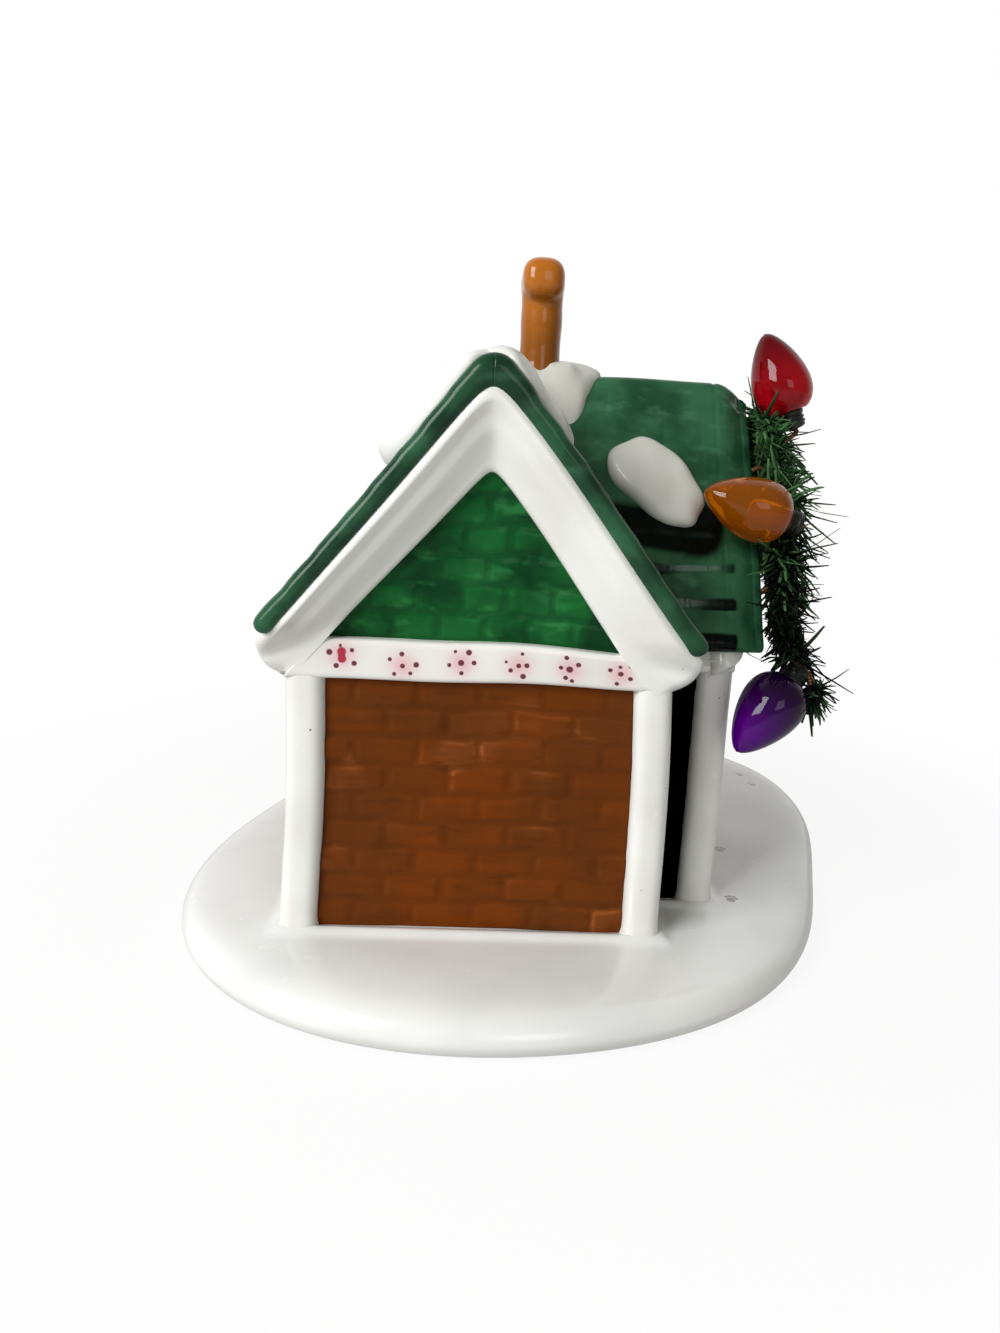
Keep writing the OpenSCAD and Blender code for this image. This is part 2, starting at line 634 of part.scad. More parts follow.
// Aims a shape drawn along +Z from one point towards another.
module aimed(from, to) {
    v = to - from;
    translate(from) rotate([0, acos(v[2] / norm(v)), atan2(v[1], v[0])]) children();
}
// Cap end and tip of a bulb on the near side: a length down the garland, then steps along X, down the porch's
// slope and off it to the cap end, and from there a direction to the tip.
function step(v) = [v[0], -v[1] * cos(porch_p) - v[2] * sin(porch_p), -v[1] * sin(porch_p) + v[2] * cos(porch_p)];
function spot(l, off, dir) = let (at = on_route(l)[0], cap = [wire_x, -at[0], at[1]] + step(off))
    [cap, cap + bulb_l * step(dir) / norm(dir)];
function far(b) = [for (p = b) [p[0], -p[1], p[2]]];
red_at = spot(4, [0.7, -0.8, 1.5], [-4.6, -10, 4.7]);
amber_at = spot(26, [-3.7, 0, 5.8], [-13.6, -2.8, 3]);
purple_at = spot(52, [-2.3, -0.9, 0], [-7, 9.1, -1.7]);
far_mid_at = far(amber_at);
far_low_at = far(purple_at);
module bulb(at, c) { house() color(c) aimed(at[0], at[1]) bulb_shape(); }
module bulb_red() { bulb(red_at, [0.6, 0.02, 0.08]); }
module bulb_amber() { bulb(amber_at, [0.75, 0.42, 0.03]); }
module bulb_purple() { bulb(purple_at, [0.3, 0.02, 0.4]); }
module bulb_far_mid() { bulb(far_mid_at, [0.3, 0.02, 0.4]); }
module bulb_far_low() { bulb(far_low_at, [0.6, 0.02, 0.08]); }

// The bulbs' caps, one on each bulb's fat end.
bulbs_at = [red_at, amber_at, purple_at, far_mid_at, far_low_at];
function cap_end(b) = b[0] + cap_l * (b[0] - b[1]) / norm(b[0] - b[1]);
module bulb_caps() {
    house() color([0.05, 0.08, 0.05]) for (b = bulbs_at) rod(b[0], cap_end(b), cap_d, 48);
}

// The bulbs' own wires, from each cap to the garland's core.
wire_lengths = [9, 24, 48, 24, 48];
function core_at(i) = let (at = on_route(wire_lengths[i])[0])
    [wire_x, (bulbs_at[i][0][1] < 0 ? -1 : 1) * at[0], at[1]];
module bulb_wires() {
    house() color([0.5, 0.35, 0.2]) for (i = [0:4]) difference() {
        v = core_at(i) - cap_end(bulbs_at[i]);
        rod(cap_end(bulbs_at[i]), core_at(i) - wire_d / 2 * v / norm(v), 0.8, 12);
        rod(bulbs_at[i][0], cap_end(bulbs_at[i]), cap_d, 48);
    }
}

snow_base();
side_panel_near();
side_panel_far();
back_wall();
door_wall();
door_trim();
return_wall_near();
return_wall_far();
porch_wall_near();
porch_wall_far();
post_back_near();
post_back_far();
post_front_near();
post_front_far();
post_porch_near();
post_porch_far();
band_near();
band_far();
band_porch();
tympanum_near();
tympanum_far();
tympanum_porch();
rake_near_back();
rake_near_front();
rake_far_back();
rake_far_front();
rake_porch_near();
rake_porch_far();
fascia_back();
fascia_front_near();
fascia_front_far();
fascia_porch_near();
fascia_porch_far();
hall_roof_back();
hall_roof_front();
porch_roof_near();
porch_roof_far();
snow_back_slope();
snow_ridge();
snow_porch_slope();
bone_finial();
garland_near();
garland_far();
garland_ties();
bulb_red();
bulb_amber();
bulb_purple();
bulb_far_mid();
bulb_far_low();
bulb_caps();
bulb_wires();
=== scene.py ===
import bpy
import numpy as np
from mathutils import Matrix


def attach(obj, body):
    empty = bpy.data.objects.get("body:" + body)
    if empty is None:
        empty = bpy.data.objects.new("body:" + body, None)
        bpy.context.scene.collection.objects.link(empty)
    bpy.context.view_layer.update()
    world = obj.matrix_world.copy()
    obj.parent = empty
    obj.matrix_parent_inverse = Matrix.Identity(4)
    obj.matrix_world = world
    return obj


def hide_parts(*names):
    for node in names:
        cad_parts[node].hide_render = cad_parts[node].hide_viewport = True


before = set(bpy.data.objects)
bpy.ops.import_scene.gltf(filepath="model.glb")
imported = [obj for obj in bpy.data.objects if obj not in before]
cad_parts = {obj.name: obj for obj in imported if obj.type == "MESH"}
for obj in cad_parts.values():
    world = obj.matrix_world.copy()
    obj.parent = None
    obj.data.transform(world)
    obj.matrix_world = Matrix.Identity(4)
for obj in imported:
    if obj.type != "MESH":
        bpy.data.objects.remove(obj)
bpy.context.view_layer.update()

# Snow base
# The flat mound that the dog house stands on: one slip-cast piece with a rolled rim, covered in thick white glaze
# that gathers in a fillet round the feet of the house. A few paw prints are brushed on in brown in front of the door.
BASE_TOP = 7.0
HOUSE = np.array([-12.2, -7.6, BASE_TOP])  # middle of the hall's floor in the part's frame, millimetres
HALL, PORCH = np.array([29.0, 37.0]), np.array([39.9, 25.7])  # outer corners of their posts, from that middle
GOLDEN = 2.399963  # the golden angle, radians

stack = lambda *c: np.stack(np.broadcast_arrays(*c), axis=-1)


def grid(P, smooth_caps=False, **marks):
    """Sheets of faces over the points P[sheet, row, column], or P[row, column] for one. The last column joins the
    first, and one face closes each end. The sheets are turned so that their volume is positive. marks are values per
    point."""
    P = P.reshape(-1, *P.shape[-3:])
    i = np.arange(P[..., 0].size).reshape(P.shape[:3])
    j = np.concatenate([i, i[..., :1]], axis=2)
    quads = stack(j[:, :-1, :-1], j[:, :-1, 1:], j[:, 1:, 1:], j[:, 1:, :-1]).reshape(-1, 4)
    ends = np.concatenate([i[:, 0, ::-1], i[:, -1]])
    p = P.reshape(-1, 3) - P.mean((0, 1, 2))
    (a, b, c, d), e = p[quads.T], p[ends]
    volume = (np.cross(a, b) * c).sum() + (np.cross(a, c) * d).sum()
    volume += (np.cross(e[:, :1], e[:, 1:-1]) * e[:, 2:]).sum()
    if volume < 0:
        quads, ends = quads[:, ::-1], ends[:, ::-1]
    marks = {k: np.broadcast_to(v, P.shape[:3]).ravel() for k, v in marks.items()}
    return P.reshape(-1, 3), quads, ends, smooth_caps, marks


def ease(v):
    """Smooth step: 0 below 0, 1 above 1 and v * v * (3 - 2 * v) between."""
    v = np.clip(v, 0, 1)
    return v * v * (3 - 2 * v)


def hand(P):
    """Unevenness of a hand-finished casting: a smooth field of sine waves, 0.2 mm high and 21 to 42 mm long, and a sag
    of 1 mm at the near gable's right eave. It moves touching pieces alike."""
    sag = ease(P[:, 0] / 28) * ease(-P[:, 1] / 20 - 0.75) * ease(P[:, 2] / 8 - 4.75)
    P = P - sag[:, None] * [0, 0, 1.0]
    x, y, z = P.T / 6.3
    return P + 0.11 * stack(np.sin(z + 0.4 * y) + np.sin(1.7 * y - 0.8 * z + 1),
                            np.sin(0.9 * x + z + 2) + np.sin(1.6 * z - x + 0.5),
                            np.sin(0.8 * x + 0.5 * y + 4) + np.sin(1.5 * x - 0.6 * y + 2.5))


def make(name, finish, sheets, slot=None, node=True, at=HOUSE, even=False):
    """One piece from its sheets, given in millimetres. It stands for the CAD node of its name, if there is one, and
    takes the given finish. slot is not used."""
    first = np.cumsum([0] + [len(s[0]) for s in sheets])
    points = np.concatenate([s[0] for s in sheets])
    points = points if even else hand(points)
    faces = [s[k] + f for k in (1, 2) for s, f in zip(sheets, first)]
    soft = [np.ones(len(s[1]), bool) for s in sheets] + [np.full(len(s[2]), s[3]) for s in sheets]
    sizes = np.concatenate([np.full(len(f), f.shape[1]) for f in faces])
    loops = np.concatenate([f.ravel() for f in faces])
    mesh = bpy.data.meshes.new(name)
    mesh.vertices.add(len(points))
    mesh.vertices.foreach_set("co", ((points + at) * 0.001).astype(np.float32).ravel())
    mesh.loops.add(len(loops))
    mesh.loops.foreach_set("vertex_index", loops.astype(np.int32))
    mesh.polygons.add(len(sizes))
    mesh.polygons.foreach_set("loop_start", (np.cumsum(sizes) - sizes).astype(np.int32))
    mesh.polygons.foreach_set("use_smooth", np.concatenate(soft))
    for mark in sheets[0][4]:
        values = np.concatenate([s[4][mark] for s in sheets])
        mesh.attributes.new(mark, "FLOAT", "POINT").data.foreach_set("value", values.astype(np.float32))
    mesh.update(calc_edges=True)
    mesh.validate()
    mesh.materials.append(finish.material)
    piece = bpy.data.objects.new(name, mesh)
    bpy.context.scene.collection.objects.link(piece)
    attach(piece, "root")
    slot or finish.name
    if node:
        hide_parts(name)


def wobble(u, v, size, seed):
    """Soft random surface, about -1 to 1: six plane waves about size long, each in a direction of its own."""
    k = np.arange(6)
    a = GOLDEN * (k + 1) + seed
    f = 2 * np.pi / (size * (0.75 + 0.1 * k))
    u, v = np.asarray(u, float)[..., None], np.asarray(v, float)[..., None]
    return np.sin(f * (u * np.cos(a) + v * np.sin(a)) + 7.1 * a).sum(-1) / 3


def through(points, n):
    """n points on a smooth Catmull-Rom curve through the given ones."""
    p = np.asarray(points, float)
    p = np.concatenate([2 * p[:1] - p[1:2], p, 2 * p[-1:] - p[-2:-1]])
    t = np.linspace(0, len(p) - 3, n)
    k = np.minimum(t.astype(int), len(p) - 4)
    f = (t - k)[:, None]
    a, b, c, d = (p[k + i] for i in range(4))
    return 0.5 * (2 * b + (c - a) * f + (2 * a - 5 * b + 4 * c - d) * f**2 + (3 * b - a - 3 * c + d) * f**3)


class Flow:
    """A shader socket in a Python expression: each operator adds the Math node of that name."""

    def __init__(self, glaze, socket):
        self.glaze, self.socket = glaze, socket

    def math(self, operation, *values):
        return self.glaze.node("ShaderNodeMath", {"operation": operation}, dict(enumerate(values)))

    def __add__(self, other): return self.math("ADD", self, other)
    def __sub__(self, other): return self.math("SUBTRACT", self, other)
    def __rsub__(self, other): return self.math("SUBTRACT", other, self)
    def __mul__(self, other): return self.math("MULTIPLY", self, other)
    def most(self, other): return self.math("MAXIMUM", self, other)
    __radd__, __rmul__ = __add__, __mul__


class Nodes:
    """A node tree, with one method that adds any node and a few that name common ones."""

    def __init__(self, tree):
        self.tree = tree

    def node(self, kind, settings={}, inputs={}, out=0):
        """Adds a node, sets its settings, then its sockets' values or links, and gives one of its outputs."""
        n = self.tree.nodes.new(kind)
        for k, v in settings.items():
            setattr(n, k, v)
        for k, v in inputs.items():
            if isinstance(v, Flow):
                self.tree.links.new(v.socket, n.inputs[k])
            else:
                n.inputs[k].default_value = v
        return Flow(self, n.outputs[out])

    def rise(self, value, low, high):
        """0 below low, 1 above high and a smooth step between."""
        return self.node("ShaderNodeMapRange", {"interpolation_type": "SMOOTHSTEP"}, {0: value, 1: low, 2: high})

    def blend(self, factor, a, b):
        """Colour a where factor is 0, b where it is 1."""
        return self.node("ShaderNodeMix", {"data_type": "RGBA"}, {0: factor, 6: a, 7: b}, out=2)

    def part(self, vector, axis):
        """One of a vector's three numbers."""
        return self.node("ShaderNodeSeparateXYZ", {}, {0: vector}, out=axis)


class Glaze(Nodes):
    """A finish: one Principled shader, with its constant sockets set directly, and the nodes that feed it."""

    def __init__(self, name, **constants):
        self.name, self.material = name, bpy.data.materials.new(name)
        self.material.use_nodes = True
        super().__init__(self.material.node_tree)
        self.shader = self.tree.nodes["Principled BSDF"]
        for socket, value in constants.items():
            self.shader.inputs[socket.replace("_", " ")].default_value = value
        place = self.node("ShaderNodeTexCoord", out=3)
        self.mm = self.node("ShaderNodeVectorMath", {"operation": "SCALE"}, {0: place, 3: 1000.0})

    def feed(self, socket, flow):
        """Links a flow to one of the shader's sockets."""
        self.tree.links.new(flow.socket, self.shader.inputs[socket])

    def surface(self, colour, rough, grain, depth, coat=None):
        """Feeds colour, roughness, a grain of 0 to 1 that stands depth mm high, and a coat's weight if there is one."""
        self.feed("Base Color", colour)
        self.feed("Roughness", rough)
        self.feed("Normal", self.node("ShaderNodeBump", {}, {"Height": grain, "Distance": depth * 0.001}))
        if coat is not None:
            self.feed("Coat Weight", coat)

    def stretched(self, x, y, z):
        """Place in millimetres, times a factor for each axis."""
        return self.node("ShaderNodeVectorMath", {"operation": "MULTIPLY"}, {0: self.mm, 1: (x, y, z)})

    def cloud(self, size, detail=2.0, at=None):
        """Noise with lumps about size mm across, 0 to 1."""
        return self.node("ShaderNodeTexNoise", {}, {"Vector": at or self.mm, "Scale": 1 / size, "Detail": detail})

    def mark(self, name):
        """A value that the mesh carries at its points."""
        return self.node("ShaderNodeAttribute", {"attribute_name": name}, out=2)


def srgb(r, g, b):
    """A colour as it is seen, 0 to 255, in the linear numbers of a socket."""
    c = np.array([r, g, b]) / 255
    return (*np.where(c < 0.04045, c / 12.92, ((c + 0.055) / 1.055) ** 2.4), 1.0)


def white_glaze(name, high, low, peel=0.03, rough=(0.16, 0.16, 5), coat=(0.3, 0.4, 12)):
    """White glaze over white clay: a little greyer where it runs thin, with a faint orange peel. rough and coat give a
    least value, what is added and the size of the clouds that add it."""
    g = Glaze(name, Coat_Roughness=0.1)
    g.colour = g.blend(g.rise(g.cloud(16), 0.35, 0.7), srgb(*high), srgb(*low))
    clouded = lambda least, more, size: least + more * g.cloud(size)
    g.surface(g.colour, clouded(*rough), g.cloud(2.4, 1), peel, clouded(*coat))
    return g


snow = white_glaze("snow_glaze", (240, 241, 239), (231, 233, 231), 0.012)
PRINTS = [(62.6, 37.6, 70), (64.0, 31.8, 95), (46.9, -4.0, 80), (43.6, -23.4, 70)]  # x, y and heading of each paw
PADS = [(0, 0, 0.75), (-0.85, 0.75, 0.36), (-0.3, 1.2, 0.38), (0.35, 1.2, 0.36), (0.85, 0.75, 0.34)]  # x, y, radius
paws = 0
for px, py, heading in PRINTS:
    c, s = np.cos(np.radians(heading - 90)), np.sin(np.radians(heading - 90))
    for u, v, r in PADS:
        pad = HOUSE + [px + c * u - s * v, py + s * u + c * v, 0.1]
        far = snow.node("ShaderNodeVectorMath", {"operation": "DISTANCE"}, {0: snow.mm, 1: pad}, out=1)
        paws = (1 - snow.rise(far, 0.75 * r, 1.25 * r)).most(paws)
snow.feed("Base Color", snow.blend(paws * 0.8, snow.colour, srgb(118, 100, 84)))

RIM = through([[0.5, 0], [0.17, 0.1], [0, 0.36], [0.1, 0.6], [0.36, 0.79], [0.8, 0.9], [1.5, 0.965], [2.3, 0.995],
               [3, 1]], 40) * [5.2, BASE_TOP]
angle = np.radians(np.arange(0, 360, 0.75))[None]
reach = 62.4 + 7.8 * np.cos(2 * angle - 2 * np.radians(59.5)) + 2 * np.cos(4 * angle - 4 * np.radians(37))
edge = stack(reach * np.cos(angle), reach * np.sin(angle))
edge = edge - (edge.max((0, 1)) + edge.min((0, 1))) / 2
rim = edge * (1 - RIM[:, :1, None] / np.linalg.norm(edge, axis=-1, keepdims=True))
top = rim[-1:] * np.linspace(1, 0.02, 110)[1:, None, None]
plan = np.concatenate([rim, top])
height = np.concatenate([RIM[:, 1], np.full(len(top), BASE_TOP)])[:, None] + 0 * angle


def boxed(p, low, high):
    """Distance of plan points from a rectangle, negative inside it."""
    q = np.maximum(low - p, p - high)
    return np.linalg.norm(np.maximum(q, 0), axis=-1) + np.minimum(q.max(-1), 0)


house = plan - HOUSE[:2]
gap = np.minimum(boxed(house, -HALL, HALL), boxed(house, PORCH * [0, -1], PORCH))
fillet = 0.75 * np.exp(-(gap / 1.1) ** 2)
lumps = 0.16 * wobble(house[..., 0], house[..., 1], 30, 2) * np.clip(gap / 8, 0, 1)
height = height + np.clip(height / BASE_TOP, 0, 1) ** 4 * (fillet + lumps)
height[0] = 0
make("snow_base", snow, [grid(stack(plan[..., 0], plan[..., 1], height))], at=0, even=True)

# Brick walls
# Slip-cast panels with a running bond of shallow bricks in relief, brushed with a thin brown glaze that breaks paler on
# the bricks' edges. The side and back panels are plain, and the porch front has an arched doorway. The walls in the
# deep recess beside the porch are glazed near black instead, as painted shade.
PLATE, LEAN = 39.4, np.tan(np.radians(1.8))  # height of the walls, and how far the long ones lean in for each mm of it
POST_W, SET_BACK, WALL = 5.7, 1.6, 2.6  # width of the posts, how far the walls lie behind their faces, wall thickness
SIDES = {"near": -1, "far": 1}


def chance(i, j, seed):
    """A number from 0 to 1 for each block i, j: the fraction of a large sine."""
    return np.modf(np.abs(np.sin(i * 12.9898 + j * 78.233 + seed) * 437.585))[0]


def bond(u, v, course, block, joint, soft, seed):
    """Blocks in running bond: 0 in the joints rising to 1 on the blocks over a soft edge, and a number per block."""
    u = u + 0.22 * wobble(u, v, 7, seed)
    v = v + 0.22 * wobble(u, v, 9, seed + 3)
    row = np.floor(v / course)
    u = u - (row % 2) * block / 2
    side = np.minimum(u % block, block - u % block) - joint / 2
    bed = np.minimum(v % course, course - v % course) - joint / 2
    return ease(side / soft) * ease(bed / soft), chance(row, np.floor(u / block), seed)


def slab(u, v, out, stand, **marks):
    """A slab with a worked face: the face at u, v and out, and a flat back, joined round its edge, one loop per row."""
    join = lambda a, b: np.concatenate([a, b], axis=1)
    back = np.full_like(u[:, :2], -WALL)
    marks = {k: join(m, 0 * back) for k, m in marks.items()}
    return grid(stand(join(u, u[:, [-1, 0]]), join(v, v[:, [-1, 0]]), join(out, back)), **marks)


def bricks(u, v, stand, seed):
    """Brick slab: soft bricks up to 0.26 mm proud of their joints, nine courses high, each brick at its own height."""
    relief, tone = bond(u, v, PLATE / 9, 9.1, 0.35, 1.0, seed)
    out = -0.32 + relief * (0.11 + 0.15 * tone) + 0.07 * wobble(u, v, 5, seed + 1)
    return slab(u, v, out, stand, relief=relief, tone=tone)


def wall(name, finish, low, high, cols, stand, seed):
    """A brick wall from the floor to the plate, between the u limits low(v) and high(v)."""
    v = np.linspace(0, PLATE, 136)[:, None] + np.zeros((1, cols))
    u = low(v) + (high(v) - low(v)) * np.linspace(0, 1, cols)
    make(name, finish, [bricks(u, v, stand, seed)], slot="brick_glaze")


def brick_glaze(name, warm, dull, dark, pale, spec):
    """Brown glaze: brushed in level strokes, a little deeper in the joints, worn paler along some bricks' edges."""
    g = Glaze(name, Coat_Roughness=0.15, Specular_IOR_Level=spec)
    relief, tone = g.mark("relief"), g.mark("tone")
    strokes = g.cloud(1.0, 3, g.stretched(0.13, 0.13, 0.8))
    colour = g.blend(g.rise(g.cloud(13) + 0.3 * strokes, 0.45, 0.85), srgb(*warm), srgb(*dull))
    worn = g.rise(g.cloud(11), 0.48, 0.66) * g.rise(tone, 0.35, 0.9)
    edge = relief * (1 - relief) * 4
    colour = g.blend(worn * (0.3 + 0.5 * edge) * g.rise(strokes, 0.3, 0.6), colour, srgb(*pale))
    colour = g.blend((1 - g.rise(relief, 0.0, 0.6)) * (0.1 + 0.3 * g.cloud(8)), colour, srgb(*dark))
    colour = g.blend(g.rise(strokes, 0.55, 0.8) * 0.4, colour, srgb(*dark))
    g.surface(colour, 0.34 + 0.25 * strokes, strokes * 0.6 + 0.4 * g.cloud(1.2), 0.05, 1.2 * spec * g.cloud(6))
    return g


def facing(side):
    """Turns a gable drawn facing -Y to its side of the house."""
    return {"near": lambda x, y, z: stack(x, y, z), "far": lambda x, y, z: stack(-x, -y, z),
            "porch": lambda x, y, z: stack(-y, x, z)}[side]


brown = brick_glaze("brick_glaze", (114, 54, 8), (98, 49, 14), (78, 38, 8), (152, 84, 38), 0.05)
# Painted shade: the return walls and the porch's side walls, deep in the recess beside the porch, are glazed near
# black.
shade_brick = brick_glaze("shade_brick_glaze", (4, 3, 3), (3, 3, 2), (2, 2, 2), (8, 5, 3), 0.0)
leaning = lambda c: lambda v: c - v * LEAN
flat = lambda c: lambda v: c + 0 * v
panel, long_wall, porch_side_wall = (leaning(c) for c in (HALL[0] - POST_W, HALL[0] - SET_BACK, PORCH[1] - SET_BACK))

for seed, k in enumerate(SIDES, 1):
    wall("side_panel_" + k, brown, lambda v: -panel(v), panel, 158,
         lambda u, v, o: facing(k)(u, SET_BACK - HALL[1] - o, v), seed)
hall_end, porch_end = flat(HALL[1] - POST_W), flat(PORCH[0] - POST_W)
wall("back_wall", brown, flat(POST_W - HALL[1]), hall_end, 210, lambda u, v, o: stack(-(long_wall(v) + o), u, v), 4)
for k, m in SIDES.items():
    wall("return_wall_" + k, shade_brick, leaning(23.6), hall_end, 30,
         lambda u, v, o: stack(long_wall(v) + o, m * u, v), 5)
    wall("porch_wall_" + k, shade_brick, leaning(25.2), porch_end, 36,
         lambda u, v, o: stack(u, m * (porch_side_wall(v) + o), v), 6)

# The porch front is drawn from the doorway's outline to the panel's: up one side, over the arch, down the other.
DOOR, SPRING = 9.5, 15.0  # half the doorway's width, and the height where its arch springs
DOOR_FACE = PORCH[0] - SET_BACK
half = leaning(PORCH[1] - POST_W)
corner = np.arctan2(PLATE - SPRING, half(PLATE))
turn = np.sort(np.concatenate([np.linspace(0, np.pi, 220), [corner, np.pi - corner]]))[::-1, None]
ray = np.where(np.abs(np.sin(turn)) * half(PLATE) > (PLATE - SPRING) * np.abs(np.cos(turn)),
               (PLATE - SPRING) / np.maximum(np.sin(turn), 1e-6),
               (half(0) - SPRING * LEAN) / np.maximum(np.abs(np.cos(turn)) + LEAN * np.sin(turn), 1e-6))
rise = np.linspace(0, SPRING, 50)[:-1, None]


def arched(jamb, r):
    """Outline that stands jamb from the middle on either side, and r from the middle of the arch above."""
    return np.concatenate([np.hstack([-jamb, rise]), np.hstack([r * np.cos(turn), SPRING + r * np.sin(turn)]),
                           np.hstack([jamb, rise])[::-1]])


doorway = arched(DOOR + 0 * rise, DOOR)
w = np.linspace(0, 1, 56)[:, None]
face = doorway[:, None] * (1 - w) + arched(half(rise), ray)[:, None] * w
make("door_wall", brown, [bricks(face[..., 0], face[..., 1], lambda u, v, o: facing("porch")(u, -DOOR_FACE - o, v), 7)])

# Corner posts
# Square posts with soft edges, cast with the walls and glazed white, leaning in with the long walls.
# Their feet spread a little where they are luted to the base.
POST_ROUND = 2.4


def unit(v):
    """Vectors drawn to a length of 1."""
    return v / np.linalg.norm(v, axis=-1, keepdims=True)


def soft_loop(corners, r, n=6):
    """Closed outline through corner points, each rounded by a parabola that begins and ends r from it."""
    p = np.asarray(corners, float)
    r = np.broadcast_to(np.asarray(r, float), len(p))[:, None]
    a, b = (p + r * unit(np.roll(p, k, 0) - p) for k in (1, -1))
    t = np.linspace(0, 1, n)[:, None]
    return ((1 - t) ** 2 * a[:, None] + 2 * t * (1 - t) * p[:, None] + t**2 * b[:, None]).reshape(-1, 2)


def pinholes(g):
    """A few pinholes in a glaze, where it crawled: 1 inside them."""
    return g.rise(g.cloud(0.6, 0), 0.855, 0.88) * g.rise(g.cloud(9, 0), 0.55, 0.62)


white = white_glaze("white_glaze", (240, 241, 238), (230, 230, 225))
white.feed("Base Color", white.blend(pinholes(white) * 0.75, white.colour, srgb(70, 68, 64)))
POST = soft_loop(POST_W / 2 * np.array([[-1, -1], [1, -1], [1, 1], [-1, 1]]), POST_ROUND, 10)


def post(x, y, lean_x, lean_y):
    """A post: the soft square carried up from the floor, spread by exp(-z) at its foot and leaning to the middle."""
    z = np.concatenate([np.linspace(0, 4, 14)[:-1], np.linspace(4, PLATE + 2.0, 36)])[:, None]
    px, py = POST.T[:, None] * (1 + 0.13 * np.exp(-z / 0.9))
    return grid(stack(x - np.sign(x) * lean_x * z + px, y - np.sign(y) * lean_y * z + py, z))


(hall_x, hall_y), (porch_x, porch_y) = HALL - POST_W / 2, PORCH - POST_W / 2
for name, x, y, lean_x, lean_y in (("post_back_", -hall_x, hall_y, LEAN, 0), ("post_front_", hall_x, hall_y, LEAN, 0),
                                   ("post_porch_", porch_x, porch_y, 0, LEAN)):
    for k, m in SIDES.items():
        make(name + k, white, [post(x, m * y, lean_x, lean_y)])

# Door trim
# A raised white roll round the doorway: a strip of clay with rounded edges, pressed on to the porch front and glazed
# with the posts.
ROLL = soft_loop([[-0.05, -0.1], [2.2, -0.1], [2.2, 1.1], [-0.05, 1.1]], [0.1, 0.1, 0.9, 0.9])
outward = (doorway - stack(0, np.minimum(doorway[:, 1], SPRING))) / DOOR
across = doorway[:, None] + outward[:, None] * ROLL[:, :1]
make("door_trim", white, [grid(facing("porch")(across[..., 0], -DOOR_FACE - ROLL[:, 1], across[..., 1]))])

# Tie bands
# White bars over the gable panels, each painted with a row of red dot rosettes: a dot ringed by smaller ones in a pale
# pink blush. The dots are dabbed on over the glaze.
RIDGE = 85.7
BAR = 4.2  # how far the bars of a gable reach back from its posts' faces
TRIM_TOP, TRIM_LOW = 2.6, 10.1  # depths of the rake trim's two edges under the roof's outer plane
# Each gable: half width of its posts, reach of their faces, eave edge and its height, overhang, radius of its ridge.
GABLES = {"near": (*HALL, 31.2618, 47.8, 3.8, 3.6), "far": (*HALL, 31.2618, 47.8, 3.8, 3.6),
          "porch": (*PORCH[::-1], 25.4618, 44.2, 4.2, 1.5)}


def pitch(side):
    """Slope of a gable's roof: the angle whose tangent is its rise over its run."""
    return np.arctan((RIDGE - GABLES[side][3]) / GABLES[side][2])


def under_x(side, depth, z):
    """Distance from the middle, at height z, of the line that lies depth under the roof's outer plane."""
    p = pitch(side)
    return (RIDGE - depth / np.cos(p) - z) / np.tan(p)


def bar(loop, low, high, soft, n, stand, marks=None):
    """A moulded bar: a closed outline of points (a, b) carried from low(a, b) to high(a, b). Each end is rounded by its
    radius in soft: at r * (1 - cos q) from the end the outline is drawn in by r * (1 - sin q). Radius 0 is a cut."""
    q = np.radians(np.linspace(0, 90, 9))[:, None]
    end = [(r * (1 - np.cos(q)), r * (1 - np.sin(q))) if r else (0 * q[:1], 0 * q[:1]) for r in soft]
    w = np.linspace(0, 1, n)[1:-1, None]
    step = np.concatenate([end[0][0], soft[0] * (1 - w) - soft[1] * w, -end[1][0][::-1]])
    inset = np.concatenate([end[0][1], 0 * w, end[1][1][::-1]])[..., None]
    w = np.concatenate([0 * end[0][0], w, 1 + 0 * end[1][0]])
    spoke = loop - loop.mean(0)
    section = loop.mean(0) + spoke * (1 - inset / np.linalg.norm(spoke, axis=1, keepdims=True))
    a, b = section[..., 0], section[..., 1]
    along = low(a, b) * (1 - w) + high(a, b) * w + step
    return grid(stand(a, b, along), **(marks(a, b, along) if marks else {}))


def rake_depth(side, left, z):
    """Depth of the rake trim's inner edge under the roof's outer plane at height z. The photographed gable was trimmed
    by eye: its left leg narrows towards the foot and its right leg widens."""
    return TRIM_LOW + (-1.2 if left else 0.6) * (side == "near") * np.clip((68 - z) / 28, 0, 1)


dotted = white_glaze("dotted_glaze", (238, 238, 234), (230, 229, 224))
colour = dotted.blend(dotted.mark("blush") * 0.8, dotted.colour, srgb(226, 172, 180))
red = dotted.blend(dotted.cloud(0.8), srgb(112, 16, 46), srgb(86, 18, 44))
red = dotted.blend(dotted.rise(dotted.mark("blot"), 0.35, 0.65), red, srgb(172, 0, 50))
dotted.feed("Base Color", dotted.blend(dotted.rise(dotted.mark("dots"), 0.35, 0.65), colour, red))


